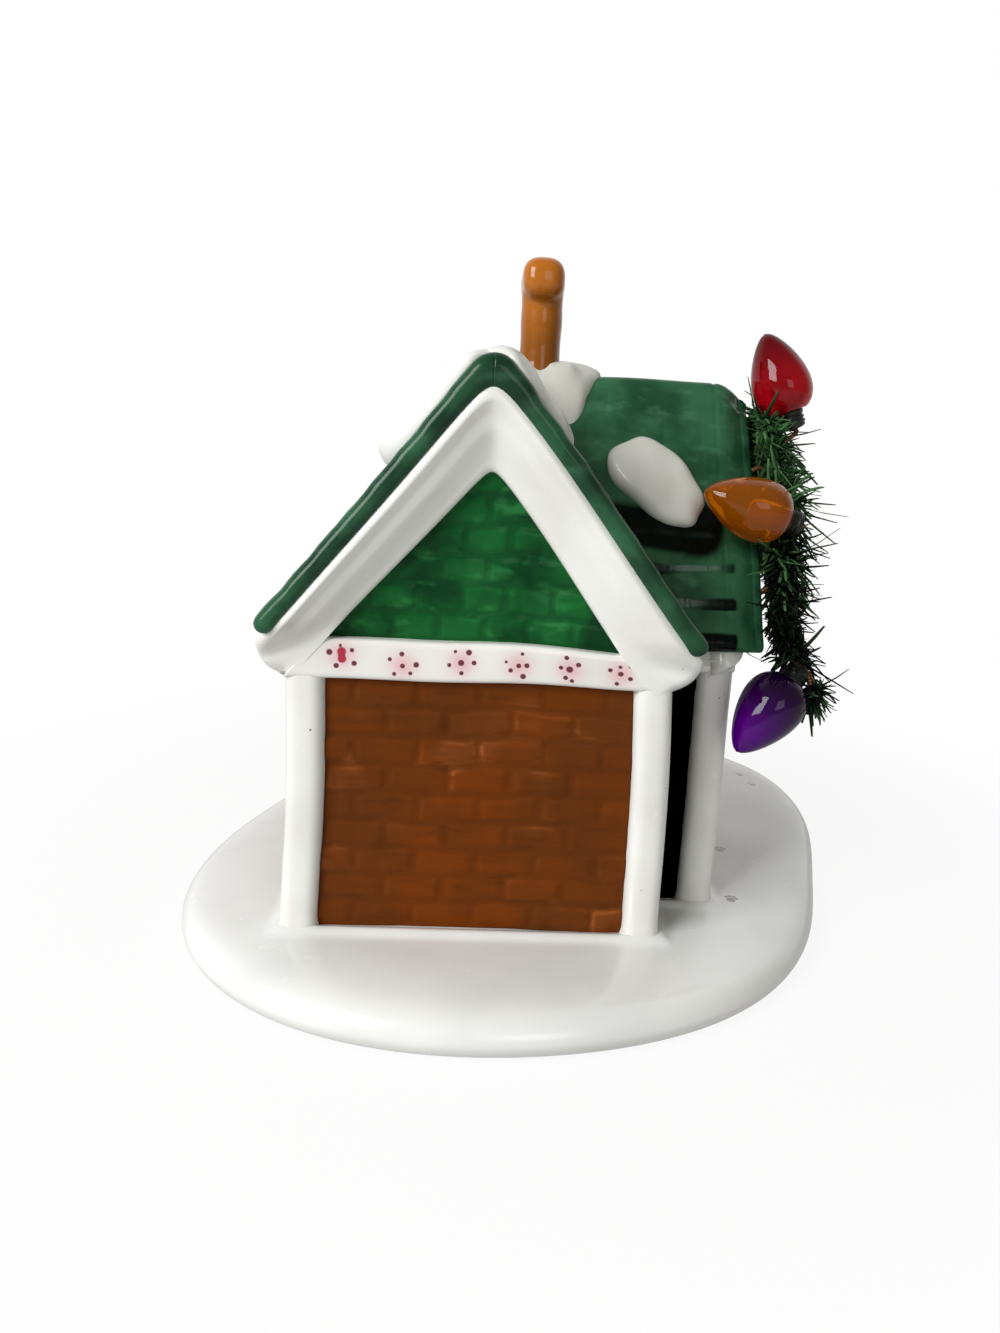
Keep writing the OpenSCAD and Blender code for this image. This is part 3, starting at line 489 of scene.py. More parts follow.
def dabs(side):
    """Where the dots are dabbed: six rosettes of a middle dot and five round it, each dot a little off its place, and
    two large dots that run together on the first. Gives a function of place on the band that is 1 inside a dot or a
    blush."""
    rng = np.random.default_rng({"near": 3, "far": 5, "porch": 9}[side])
    across = np.array([-19.5, -11.0, -2.8, 5.3, 12.5, 19.8]) * (1 if side != "porch" else 0.74)
    middle = stack(across, 42.3 + 0.25 * rng.normal(size=6))
    a = np.radians(72) * np.arange(5) + rng.uniform(0, 1.2, (6, 1)) + 0.2 * rng.normal(size=(6, 5))
    ring = 1.75 * (1 + 0.14 * rng.normal(size=(6, 5)))
    around = middle[:, None] + stack(ring * np.cos(a), 0.95 * ring * np.sin(a))
    blots = middle[:1] + [[0.0, 0.55], [0.05, -0.5]]
    dot = np.concatenate([middle, around.reshape(-1, 2), blots])
    size = np.concatenate([0.42 + 0.06 * rng.normal(size=6), 0.34 + 0.06 * rng.normal(size=30), [0.62, 0.6]])

    def marks(y, z, x):
        far = lambda c: np.sqrt((x[..., None] - c[:, 0]) ** 2 + (z[..., None] - c[:, 1]) ** 2)
        front = np.clip((-y - (GABLES[side][1] - 0.4)) * 4, 0, 1)
        near = np.clip(1.5 - far(dot) / size, 0, 1)
        return {"dots": front * near.max(-1), "blot": front * near[..., -2:].max(-1),
                "blush": front * np.exp(-(far(middle) / 1.9) ** 2).max(-1)}
    return marks


for side, (_, reach, *_) in GABLES.items():
    front, back, low, high = -(reach + 0.1), -(reach - BAR), PLATE - 0.1, 45.1
    loop = soft_loop([[back, low], [back, high], [front, high], [front, low]], [0.2, 0.2, 1.0, 1.0], 8)
    face = np.linspace(44.0, PLATE + 1.0, 30)
    k = np.argmin(np.abs(loop - [front, 44.1]).sum(1)) + 1
    loop = np.concatenate([loop[:k], stack(front, face), loop[k:]])
    edge = lambda left: lambda y, z: (-1 if left else 1) * (under_x(side, rake_depth(side, left, z), z) + 1.2)
    make("band_" + side, dotted, [bar(loop, edge(True), edge(False), (0.3, 0.3), 300,
                                      lambda y, z, x: facing(side)(x, y, z), dabs(side))], slot="white_glaze")

# Gable triangles
# Green shingled triangles between the tie band and the rake trim, cast in low relief. The green glaze was brushed on
# unevenly and is a little darker in the joints; towards the rake trim and the top it is darkened as painted shade.
SHINGLE = 6.4


def green_glaze(name, deep, main, fresh, spec, gloss):
    """Green glaze: brushed in patches of thick and thin, a little darker in the joints, and painted nearly black as
    painted shade, with its gloss taken off, where the mesh marks it.
    """
    g = Glaze(name, Coat_Roughness=0.08, Specular_IOR_Level=spec)
    relief, tone, pool = g.mark("relief"), g.mark("tone"), g.mark("pool")
    brushed = g.cloud(1.0, 3, g.stretched(0.2, 0.2, 0.42))
    colour = g.blend(g.rise(g.cloud(9, 3), 0.38, 0.66), srgb(*main), srgb(*deep))
    colour = g.blend(g.rise(brushed, 0.5, 0.72) * (0.25 + 0.5 * tone), colour, srgb(*fresh))
    colour = g.blend((1 - g.rise(relief, 0.0, 0.7)) * (0.15 + 0.4 * g.cloud(6)), colour, srgb(*deep))
    # Painted shade: where the pool mark is high, the glaze turns nearly black.
    colour = g.blend(g.rise(pool + 0.5 * g.cloud(5) - 0.25, 0.25, 0.75), colour, srgb(3, 10, 6))
    g.surface(colour, 0.14 + 0.2 * brushed, g.cloud(1.6, 2), 0.035,
              gloss * (0.3 + 0.7 * g.cloud(9)) * (1 - g.rise(pool, 0.2, 0.7)))
    return g


gable_green = green_glaze("gable_green", (8, 56, 26), (22, 94, 42), (50, 134, 70), 0.05, 0.12)
for k, (side, (_, reach, *_)) in enumerate(GABLES.items()):
    v = np.linspace(44.6, RIDGE - TRIM_LOW / np.cos(pitch(side)) + 1.2, 110)[:, None] + np.zeros((1, 130))
    left, right = (np.maximum(under_x(side, rake_depth(side, leg, v), v), 0) + 0.9 for leg in (True, False))
    u = -left + (right + left) * np.linspace(0, 1, 130)
    relief, tone = bond(u, v - 45, 4.1, SHINGLE, 0.3, 0.9, 11 + k)
    out = -0.35 + relief * (0.1 + 0.14 * tone) + 0.08 * wobble(u, v, 5, 12 + k)
    # Painted shade: the triangle darkens towards its sloping edges and its top, where the rake trim shades its recess.
    shade = np.clip(1 - np.minimum(u + left, right - u) / 3.5, 0, 1) ** 2 * 0.5
    make("tympanum_" + side, gable_green, [slab(u, v, out, lambda u, v, o: facing(side)(u, SET_BACK - reach - o, v),
                                                relief=relief, tone=tone, pool=shade)])

# Rake trim
# Bevelled white bars under the sloping edges of the roof, mitred at the ridge, standing on the posts.
# A flat lip follows the roof and a hollow bevel falls back to the green triangle.
CROWN = 2.2  # how far the top of a gable's arris is rounded down


def rake(side, left):
    """One leg: a moulding with a lip, a narrow hollow, a soft ridge and a wide bevel to an inner roll, given as depth
    under the roof and reach to the front. It is carried from the gable's top, rounded as a hypotenuse, down to a soft
    minimum of the plate, a line out over the post and the eave, and dies into the post's face in a rounded foot."""
    half, reach, eave, _, over, _ = GABLES[side]
    p, m = pitch(side), -1 if left else 1
    lip, roll, back = reach + over - 0.4, reach - 0.8, reach - BAR
    face = through([[1.9, lip - 1.0], [2.7, lip - 0.3], [3.5, lip], [4.1, lip - 0.33], [4.9, lip - 0.9],
                    [5.7, lip - 1.26], [6.4, lip - 1.62], [7.7, lip - 2.6], [8.8, roll + 0.88], [9.5, roll + 0.52],
                    [10.0, roll], [TRIM_LOW, roll - 0.8]], 44)
    loop = np.concatenate([[[TRIM_TOP, back]], face, [[TRIM_LOW, back]]]) * [1, -1]
    foot, z_foot, splay = half - PLATE * LEAN + 0.3, PLATE - 0.8, 1.15
    foot_round, sharp = 2.0, 1.2

    def scaled(d, z):
        return TRIM_TOP + (d - TRIM_TOP) * (rake_depth(side, left, z) - TRIM_TOP) / (TRIM_LOW - TRIM_TOP)

    def cut(d, y):
        d = scaled(d, PLATE)
        start = RIDGE - d * np.cos(p)
        by_plate = (start - PLATE + 3.2) / np.sin(p)
        by_post = (foot + splay * (start - z_foot) + d * np.sin(p)) / (np.cos(p) + splay * np.sin(p))
        by_eave = (eave + 0.1 + d * np.sin(p)) / np.cos(p)
        return -np.log(sum(np.exp(-sharp * s) for s in (by_plate, by_post, by_eave))) / sharp

    def stand(d, y, s):
        z = RIDGE - s * np.sin(p) - d * np.cos(p)
        end = np.clip(cut(d, y) - s, 0, foot_round)
        d = scaled(d, z)
        x = s * np.cos(p) - d * np.sin(p)
        die = ease((48.5 - z) / (8 - 0.6 * (d - TRIM_TOP))) * (y < 2 - reach)
        corner = np.clip(x - (half - z * LEAN - POST_ROUND), 0, POST_ROUND) * np.clip((42 - z) / 3, 0, 1)
        post_face = reach - 4.4 + np.sqrt(POST_ROUND**2 - corner**2) + np.sqrt(foot_round**2 - (foot_round - end) ** 2)
        post_face = post_face + np.clip(0.06 * (z - 38.9), -0.3, 0.2)
        y = y * (1 - die) - die * post_face + 0.012 * np.clip(-4 * x, 0, 1)
        arris = np.hypot(x * np.tan(p), CROWN - 0.13 * (d - TRIM_TOP))
        return facing(side)(m * x, y, RIDGE - d / np.cos(p) - arris)
    return bar(loop, lambda d, y: d * np.tan(p) - 0.5, cut, (0, 0.5 if side == "porch" else 0.9), 110, stand)


for name, side, left in (("near_back", "near", True), ("near_front", "near", False), ("far_front", "far", True),
                         ("far_back", "far", False), ("porch_near", "porch", True), ("porch_far", "porch", False)):
    make("rake_" + name, white, [rake(side, left)])

# Eave boards
# White boards that close the eaves between the long walls and the roof: strips of clay, set on the walls between the
# posts and glazed with the rest of the trim.


def eave_board(side, y0, y1, stand):
    """A board from y0 to y1: four soft corners, on the plate and up to the roof's underside."""
    p, out = pitch(side), GABLES[side][0] - PLATE * LEAN + 0.25
    back = out - 4.4
    low, top = PLATE - 0.1, lambda x: RIDGE - 2.7 / np.cos(p) - x * np.tan(p)
    loop = soft_loop([[back, low], [out, low], [out, top(out)], [back, top(back)]], [0.2, 0.45, 0.3, 0.2])
    return bar(loop, lambda a, z: y0 + 0 * a, lambda a, z: y1 + 0 * a, (0.3, 0.3), 40, stand)


make("fascia_back", white, [eave_board("near", -32.8, 32.8, lambda a, z, s: stack(-a, s, z))])
for k, m in SIDES.items():
    make("fascia_front_" + k, white, [eave_board("near", 24.2, 32.8, lambda a, z, s: stack(a, m * s, z))])
    make("fascia_porch_" + k, white, [eave_board("porch", 27.0, 39.6, lambda a, z, s: stack(s, m * a, z))])

# Roof slopes
# Four slabs of green-glazed shingles that meet in rounded ridges and two valleys. Each course is thickest at its lower
# edge, the joints are shallow and staggered, and the slab's edges are rolled over.
COURSES, VERGE, SLAB = 8, 1.5, 2.8  # courses of a slope, radius of its rolled edges, its thickness
roof_green = green_glaze("roof_green", (26, 70, 46), (48, 98, 68), (72, 122, 92), 0.08, 0.5)


def slope(side, low, high, rolled, cols, stand, seed):
    """One slope. Rows run down from the ridge: an arc of the ridge's radius, then the straight slope, then a rounded
    eave. Columns run over the top from low(s) to high(s), over the edge, as a half circle where rolled, and back below.
    On the top, each course rises by 0.36 mm to a soft lower lip, with shallow joints. Painted shade darkens the glaze
    nearly to black under the lips, in a patch on the porch and faintly in a score along the porch's worn-down verge."""
    eave, r = GABLES[side][2], GABLES[side][5]
    p, porch = pitch(side), side == "porch"
    span, start = eave / np.cos(p) + 0.5, r * np.tan(p)
    course = (span - 0.5 - start) / COURSES
    arc = np.linspace(0, p, 9)[:-1]
    a = np.radians(np.linspace(0, 90, 10))[1:]
    straight = np.concatenate([start + np.arange(0, span - start - 1.6, 0.34), span - 1.6 + 1.6 * np.sin(a)])
    turn = np.concatenate([arc, 0 * straight + p])[:, None]
    across = np.concatenate([r * np.sin(arc), straight * np.cos(p)])[:, None]
    height = np.concatenate([RIDGE - r / np.cos(p) + r * np.cos(arc), RIDGE - straight * np.sin(p)])[:, None]
    s = np.concatenate([start * arc / p, straight])[:, None]
    thin = np.concatenate([np.ones(len(s) - len(a)), np.cos(a) ** 0.7])[:, None]
    below = (r - SLAB) / np.cos(p - turn) - r
    fall = np.maximum(across + below * np.sin(turn), 0) * np.tan(p)
    drop = np.hypot(fall, CROWN) - fall
    lo, hi = low(s) + VERGE * rolled[0], high(s) - VERGE * rolled[1]
    y = lo + (hi - lo) * np.linspace(0, 1, cols)
    inside = np.minimum(y - lo if rolled[0] else 99, hi - y if rolled[1] else 99)
    k = (s + 0.25 * wobble(y, s, 18, seed) - start) / course
    row = np.clip(np.floor(k), 0, COURSES - 1)
    part = np.clip(k - row, 0, 1)
    lip = ease((part - 0.62) / 0.38) * (row < COURSES - 1)
    joint = y / SHINGLE + 0.5 * (row % 2) + 0.05 * wobble(y, s, 11, seed + 1)
    down = np.clip((s - start) / 2, 0, 1)
    tone = 0.3 + (chance(np.floor(joint), row, seed) - 0.3) * down
    groove = np.exp(-((joint - np.round(joint)) * SHINGLE / 0.5) ** 2) * np.clip(part * 3, 0, 1) * down
    out = down * (0.36 * np.minimum(part / 0.62, 1) * (1 - lip) - 0.08 * groove)
    out = out * (0.35 + 0.65 * np.clip(inside / 5, 0, 1)) + 0.07 * wobble(y, s, 6, seed + 2) * np.clip(s / 8, 0, 1)
    line = np.exp(-((inside - 4.8) / 0.35) ** 2) * porch
    out = out - 1.6 * porch * np.clip(1 - inside / 4.8, 0, 1) ** 2 - 0.12 * line
    # Painted shade: dark dashes under the courses' lower lips, a dark patch on the porch's slope, and the verge's
    # score.
    under = np.exp(-((part - 0.86) / (0.1 + 0.02 * row)) ** 4) * down * np.clip(inside - 2.6, 0, 1)
    under = under * np.clip(1.6 + 1.4 * wobble(y, 3 * row, 26, seed + 3), 0, 1) * np.clip(row / 3 - 0.7, 0, 1)
    away = np.abs(s - 29.2 - 0.9 * wobble(y, s, 15, seed + 4)) / 4.0
    patch = np.exp(-away**2.6) / (1 + np.exp((y - 37.5) / 0.8)) * porch
    pool = np.maximum(np.maximum(0.9 * under, 1.3 * patch), 0.3 * line)

    def edge(at, top, sign, roll):
        b = np.radians(np.linspace(90, -90, 13))[None, 1:] if roll else np.radians([[-90.0]])
        return at + sign * VERGE * (0.2 + 0.8 * thin) * np.cos(b), (top + below) / 2 + (top - below) / 2 * np.sin(b)

    far, near = edge(hi, out[:, -1:], 1, rolled[1]), edge(lo, out[:, :1], -1, rolled[0])
    Y = np.concatenate([y, far[0], near[0][:, ::-1]], axis=1)
    T = np.concatenate([out, far[1], near[1][:, ::-1]], axis=1)
    T = -1.3 + (T + 1.3) * np.maximum(thin, 0.04)
    wide = lambda m, v: np.concatenate([m + 0 * y, np.full((len(s), Y.shape[1] - cols), v)], axis=1)
    Z = height + T * np.cos(turn) - drop * np.clip(T / below, 0, 1)
    return grid(stand(np.maximum(across + T * np.sin(turn), 0), Y, Z),
                relief=wide(np.clip(1 - 0.7 * groove, 0, 1), 1.0), tone=wide(tone, 0.3), pool=wide(pool, 0.42))


steep = np.sin(pitch("near")) / np.tan(pitch("porch"))
valley = np.sin(pitch("porch")) / np.tan(pitch("near"))
make("hall_roof_back", roof_green,
     [slope("near", flat(-40.8), flat(40.8), (True, True), 250, lambda a, y, z: stack(-a, y, z), 21)])
make("hall_roof_front", roof_green,
     [slope("near", lambda s: np.maximum(s * steep - 1.4, -0.02), flat(40.8), (False, True), 130,
            lambda a, y, z: stack(a, m * y, z), 22 + m) for m in SIDES.values()])
for k, m in SIDES.items():
    make("porch_roof_" + k, roof_green,
         [slope("porch", lambda s: np.maximum(s * valley - 0.6, 0.4), flat(44.1), (False, True), 140,
                lambda a, x, z: stack(x, m * a, z), 25 + m)])

# Roof snow
# Thick patches of white slip left on the roof: a drift over the back slope, a heap on the ridge crossing that holds the
# bone and runs down the valley and the front slope, and an oval on the porch. Satin, with soft rolled edges. The slip
# is painted grey as painted shade, and white over the back slope, which faces the light, as painted light.
# Painted shade and light: the slip is set grey, and turns white where x is below -18 mm, over the back slope.
powder = white_glaze("roof_snow", (216, 217, 211), (196, 197, 189), 0.1, (0.32, 0.25, 4), (0.1, 0.2, 8))
x = powder.part(powder.mm, 0)
colour = powder.blend(powder.rise(x, -18.0, -8.0), srgb(243, 244, 242), powder.colour)
powder.feed("Base Color", powder.blend(pinholes(powder) * 0.3, colour, srgb(150, 150, 142)))


def heap(outline, thick, stand, fall):
    """A patch of snow: polar rows from its middle to outline(a), thick * sqrt(1 - r ** fall) high, then back below."""
    a = np.radians(np.arange(0, 360, 2))[None]
    r = np.concatenate([np.linspace(0.02, 0.9, 22), np.sin(np.radians(np.linspace(66, 90, 10)))])[:, None]
    t = thick * np.sqrt(np.maximum(1 - r**fall, 0))
    u, v = outline(a)
    R = np.concatenate([r, r[::-1]])
    U, V = u[0] + R * u[1], v[0] + R * v[1]
    T = np.concatenate([t, 0 * r - 0.5])
    return grid(stand(U, V, T + 0.12 * wobble(U, V, 6, thick) * (T > 0)), smooth_caps=True)


def over_ridge(side):
    """Place on a roof that is unrolled over its ridge: c across it from the ridge, l along it, t off the shingles."""
    p, r = pitch(side), GABLES[side][5]
    start = r * np.tan(p)

    def stand(c, l, t):
        s, t = np.abs(c), t + 0.25
        turn = np.minimum(s / start, 1) * p
        a = np.where(s < start, r * np.sin(turn), s * np.cos(p)) + t * np.sin(turn)
        z = np.where(s < start, RIDGE - r / np.cos(p) + r * np.cos(turn), RIDGE - s * np.sin(p)) + t * np.cos(turn)
        return np.sign(c) * a, l, z
    return stand


def oval(a, power):
    """Radius at the angle a of a rounded square of half width 1, by the superellipse of that power."""
    return 1 / (np.abs(np.cos(a)) ** power + np.abs(np.sin(a)) ** power) ** (1 / power)


def lumpy(c, l, half_c, half_l, power, seed, amount):
    """Outline round (c, l): a rounded oval of two half widths whose radius waves by an amount."""
    def outline(a):
        k = oval(a, power) * (1 + amount * (np.sin(3 * a + seed) + 0.6 * np.sin(5 * a + 2 * seed)))
        return (c, k * half_c * np.cos(a)), (l, k * half_l * np.sin(a))
    return outline


hall = lambda c, l, t: stack(*over_ridge("near")(c, l, t))
drift = lambda c, l, t: hall(c, l, t * (0.34 + 0.66 * np.clip((-c - 1) / 12, 0, 1)))
make("snow_back_slope", powder, [heap(lumpy(-10.4, -21.5, 12.6, 17.6, 2.8, 1.0, 0.05), 4.4, drift, 5.0)])


def crossing(x, y):
    """Height of the roof at a plan point beside the ridge crossing: the higher of the two roofs, with a soft valley."""
    def top(d, side):
        p = pitch(side)
        return RIDGE - np.hypot(d * np.tan(p), GABLES[side][5] * (1 / np.cos(p) - 1))

    a, b = top(x, "near"), np.where(x > 0, top(y, "porch"), 0)
    return np.logaddexp(a / 1.2, b / 1.2) * 1.2


def spill(a):
    """Plan outline of the snow at the crossing: out along the porch ridge, with a tongue down the near valley."""
    at = np.radians([-180, -150, -120, -97, -80, -62, -46, -25, -10, -2, 5, 20, 40, 60, 90, 120, 150, 180])
    r = np.array([9.2, 7.2, 5.4, 5.6, 6.8, 7.8, 8.0, 8.3, 9.0, 10.0, 9.2, 7.4, 6.2, 5.4, 4.8, 5.0, 7.0, 9.2])
    k = np.interp((a + np.pi) % (2 * np.pi) - np.pi, at, r) + 0.1 * np.sin(7 * a)
    return (8.4, k * np.cos(a)), (0.0, k * np.sin(a))


def bedded(x, y, t):
    """Snow of a thickness t at the crossing, in soft lumps, filled to a flat top round the foot of the bone."""
    roof = crossing(x, y)
    t = t + 0.5 * np.clip(t / 1.9, 0, 1) * wobble(x, y, 5.5, 3)
    flat_top = 86.7 - 0.5 * (y / 3.5) ** 2 - 4 * (np.abs(y) / 5.2) ** 6 - 1.4 * ((x - 7.8) / 8.6) ** 4
    fill = np.logaddexp(0, (flat_top - roof - t) / 0.5) * 0.5 * np.clip(t / 2.0, 0, 1) ** 0.7
    return stack(x, y, roof + t + fill)


make("snow_ridge", powder, [heap(spill, 1.9, bedded, 4.0),
                            heap(lumpy(7.6, -21.0, 9.7, 17.8, 3.0, 2.0, 0.04), 1.7, hall, 6.0)])


def porch_side(c, l, t):
    """Place on the porch's near slope: c down it from the ridge, l along it, t off the shingles."""
    b, x, z = over_ridge("porch")(c, l, t)
    return stack(x, -b, z)


def tilted(a):
    """Outline of the porch patch: an oval that lies aslant, blunt at its upper end and narrower at its lower one."""
    k = oval(a, 2.5) * (1 + 0.03 * np.sin(3 * a) + 0.02 * np.sin(7 * a))
    u, v = 8.9 * k * np.cos(a), 5.5 * k * np.sin(a) * (1 - 0.14 * np.cos(a))
    c, s = np.cos(np.radians(47)), np.sin(np.radians(47))
    return (21.4, s * u + c * v), (27.5, c * u - s * v)


make("snow_porch_slope", powder, [heap(tilted, 2.3, porch_side, 4.0)])

# Bone
# A dog bone that stands on end in the ridge snow: cast and glazed tan, paler towards its top, with darker blotches.
# A knob shows at its top with a crease below, and its second knob behind.
FOOT, RISE = np.array([7.8, 0.0, 84.73]), 14.0
tan = Glaze("bone_tan", Coat_Roughness=0.04, Specular_IOR_Level=0.12)
run = tan.rise(tan.part(tan.mm, 2) + 5 * tan.cloud(4), 94.0, 110.0)
colour = tan.blend(run, srgb(136, 76, 12), srgb(178, 104, 25))
colour = tan.blend(tan.rise(tan.cloud(2.6, 3), 0.6, 0.85) * 0.6, colour, srgb(96, 50, 10))
tan.surface(colour, 0.16 + 0.2 * tan.cloud(3), tan.cloud(1.8, 2), 0.06, 0.2 + 0.4 * tan.cloud(5))


def bone(q):
    """Distance from the bone's surface: two knobs side by side along Y, softly joined to a stout shaft with a swell
    under the crease."""
    join = lambda a, b, k: -np.logaddexp(-a / k, -b / k) * k
    knob = lambda y: (np.abs((q - [0, y, RISE + 0.3]) * [1, 1, 1.06]) ** 2.7).sum(-1) ** (1 / 2.7) - 3.4
    z = q[..., 2]
    waist = 3.3 + 0.16 * np.exp(-((z - 8.2) / 2.4) ** 2) + 0.35 * np.exp(-z / 2.0)
    shaft = np.maximum(np.linalg.norm(q[..., :2] * [1, 0.95], axis=-1) - waist, z - (RISE - 0.6))
    return join(join(knob(3.0), knob(-3.0), 0.5), shaft, 0.55)


up = np.linspace(0, 1, 110)[:, None]
around = np.radians(np.arange(0, 360, 4))[None]
tilt = np.clip((up - 0.62) / 0.38, 0, 1) * np.radians(89.2)
aim = stack(np.cos(around) * np.cos(tilt), np.sin(around) * np.cos(tilt), np.sin(tilt))
axis = stack(0, 0, np.minimum(up / 0.62, 1) * RISE)
t = np.full(aim.shape[:2] + (1,), 9.0)
for _ in range(60):  # walks in from outside along every ray at once, until it meets the surface
    t = t - 0.8 * bone(axis + aim * t)[..., None]
make("bone_finial", tan, [grid(axis + aim * t + FOOT, smooth_caps=True)])

# Garland
# A twisted wire with cut plastic needles caught between its strands. One half runs down each side of the porch gable
# and hangs over the eave. The needles are dark green, bent and uneven, and painted nearly black as painted shade in the
# garland's body and on its side towards the house.
ROUTE = [[0.0, 81.83], [13.5, 61.3], [25.2, 43.5], [26.7, 40.6], [26.7, 37.4]]
needle_green = Glaze("needles", Specular_IOR_Level=0.1)
# Painted shade: a tone near 0 turns needles nearly black, in the garland's core and shaded body.
tone = needle_green.mark("tone")
colour = needle_green.blend(tone, srgb(2, 5, 3), srgb(70, 122, 66))
colour = needle_green.blend(needle_green.mark("tip") * tone * 0.7, colour, srgb(96, 134, 88))
needle_green.surface(colour, 0.45 + 0.3 * needle_green.cloud(0.8), needle_green.cloud(0.3), 0.03)

wire = Glaze("wire", Metallic=0.6)
wire.surface(wire.blend(wire.cloud(0.9, 3), srgb(120, 84, 48), srgb(82, 62, 40)), 0.32 + 0.3 * wire.cloud(0.6),
             wire.cloud(0.4), 0.04)


def spokes(ahead, aside, sides):
    """A circle of unit vectors square to each direction ahead: a * cos(q) + b * sin(q), with a square to aside."""
    a = unit(np.cross(ahead, aside))
    q = np.linspace(0, 2 * np.pi, sides, endpoint=False)[:, None]
    return np.cos(q) * a[..., None, :] + np.sin(q) * np.cross(ahead, a)[..., None, :]


def tube(path, r, sides=8):
    """Round wire: a circle of radius r square to the path at each of its points."""
    return grid(path[:, None] + r * spokes(unit(np.gradient(path, axis=0)), [0.9, 0.31, 0.3], sides))


# Bulbs are placed as in the drawing: a length down the garland, steps from it to the cap, and a direction to the tip.
# The core lies a little nearer the roof than the drawing's wire, and swings out round the low bulb's cap.
WIRE_X, CORE_X = 49.9, 47.7
BULB_FAT, BULB_LONG = 4.9, 13.6
core_x = lambda z: CORE_X + 3.2 * np.clip((47 - z) / 9, 0, 1) ** 1.5
EDGE_TOP, EDGE_END = np.array([[0.0, 81.83], [26.9618, 40.7]])
run = np.linalg.norm(EDGE_END - EDGE_TOP)


def on_route(l):
    """Place at a length l down the garland: along the gable's edge, then straight down."""
    return EDGE_TOP + (EDGE_END - EDGE_TOP) * l / run if l < run else EDGE_END - [0, l - run]


def downhill(v):
    """Steps to the front, down the porch's near slope and off it, turned into the house's frame by its pitch."""
    p = pitch("porch")
    return np.array([v[0], -v[1] * np.cos(p) - v[2] * np.sin(p), -v[1] * np.sin(p) + v[2] * np.cos(p)])


def spot(l, off, aim):
    """Cap and tip of a bulb: off from the wire at a length l, then a bulb's length along aim."""
    at = on_route(l)
    cap = np.array([WIRE_X, -at[0], at[1]]) + downhill(off)
    return cap, cap + BULB_LONG * downhill(aim) / np.linalg.norm(aim)


mirrored = lambda b: tuple(p * [1, -1, 1] for p in b)
BULBS = {"red": spot(4, [0.7, -0.8, 1.5], [-4.6, -10, 4.7]), "amber": spot(26, [-3.7, 0, 5.8], [-13.6, -2.8, 3]),
         "purple": spot(52, [-2.3, -0.9, 0], [-7, 9.1, -1.7])}
BULBS.update(far_mid=mirrored(BULBS["amber"]), far_low=mirrored(BULBS["purple"]))


def clear(q):
    """True for each needle, given as points [needle, step], that keeps off every bulb and cap."""
    ok = np.ones(len(q), bool)
    for cap, tip in BULBS.values():
        v = (tip - cap) / BULB_LONG
        s = (q - cap) @ v
        d = np.linalg.norm(q - cap - s[..., None] * v, axis=-1)
        fat = BULB_FAT * np.sin(np.pi * np.clip(s / BULB_LONG, 0.04, 1) ** 0.62) ** 0.75 + 0.3
        in_bulb = (s > -0.2) & (s < BULB_LONG + 0.2) & (d < fat)
        ok &= ~(in_bulb | ((s > -3.2) & (s <= -0.2) & (d < 2.8))).any(1)
    return ok


def over_roof(q):
    """True for each needle that keeps off the porch: clear of its front, or above its slopes."""
    p = pitch("porch")
    above = (q[..., 2] - RIDGE + np.abs(q[..., 1]) * np.tan(p)) * np.cos(p)
    return ((q[..., 0] > 44.4) | (above > 0.7)).all(1)


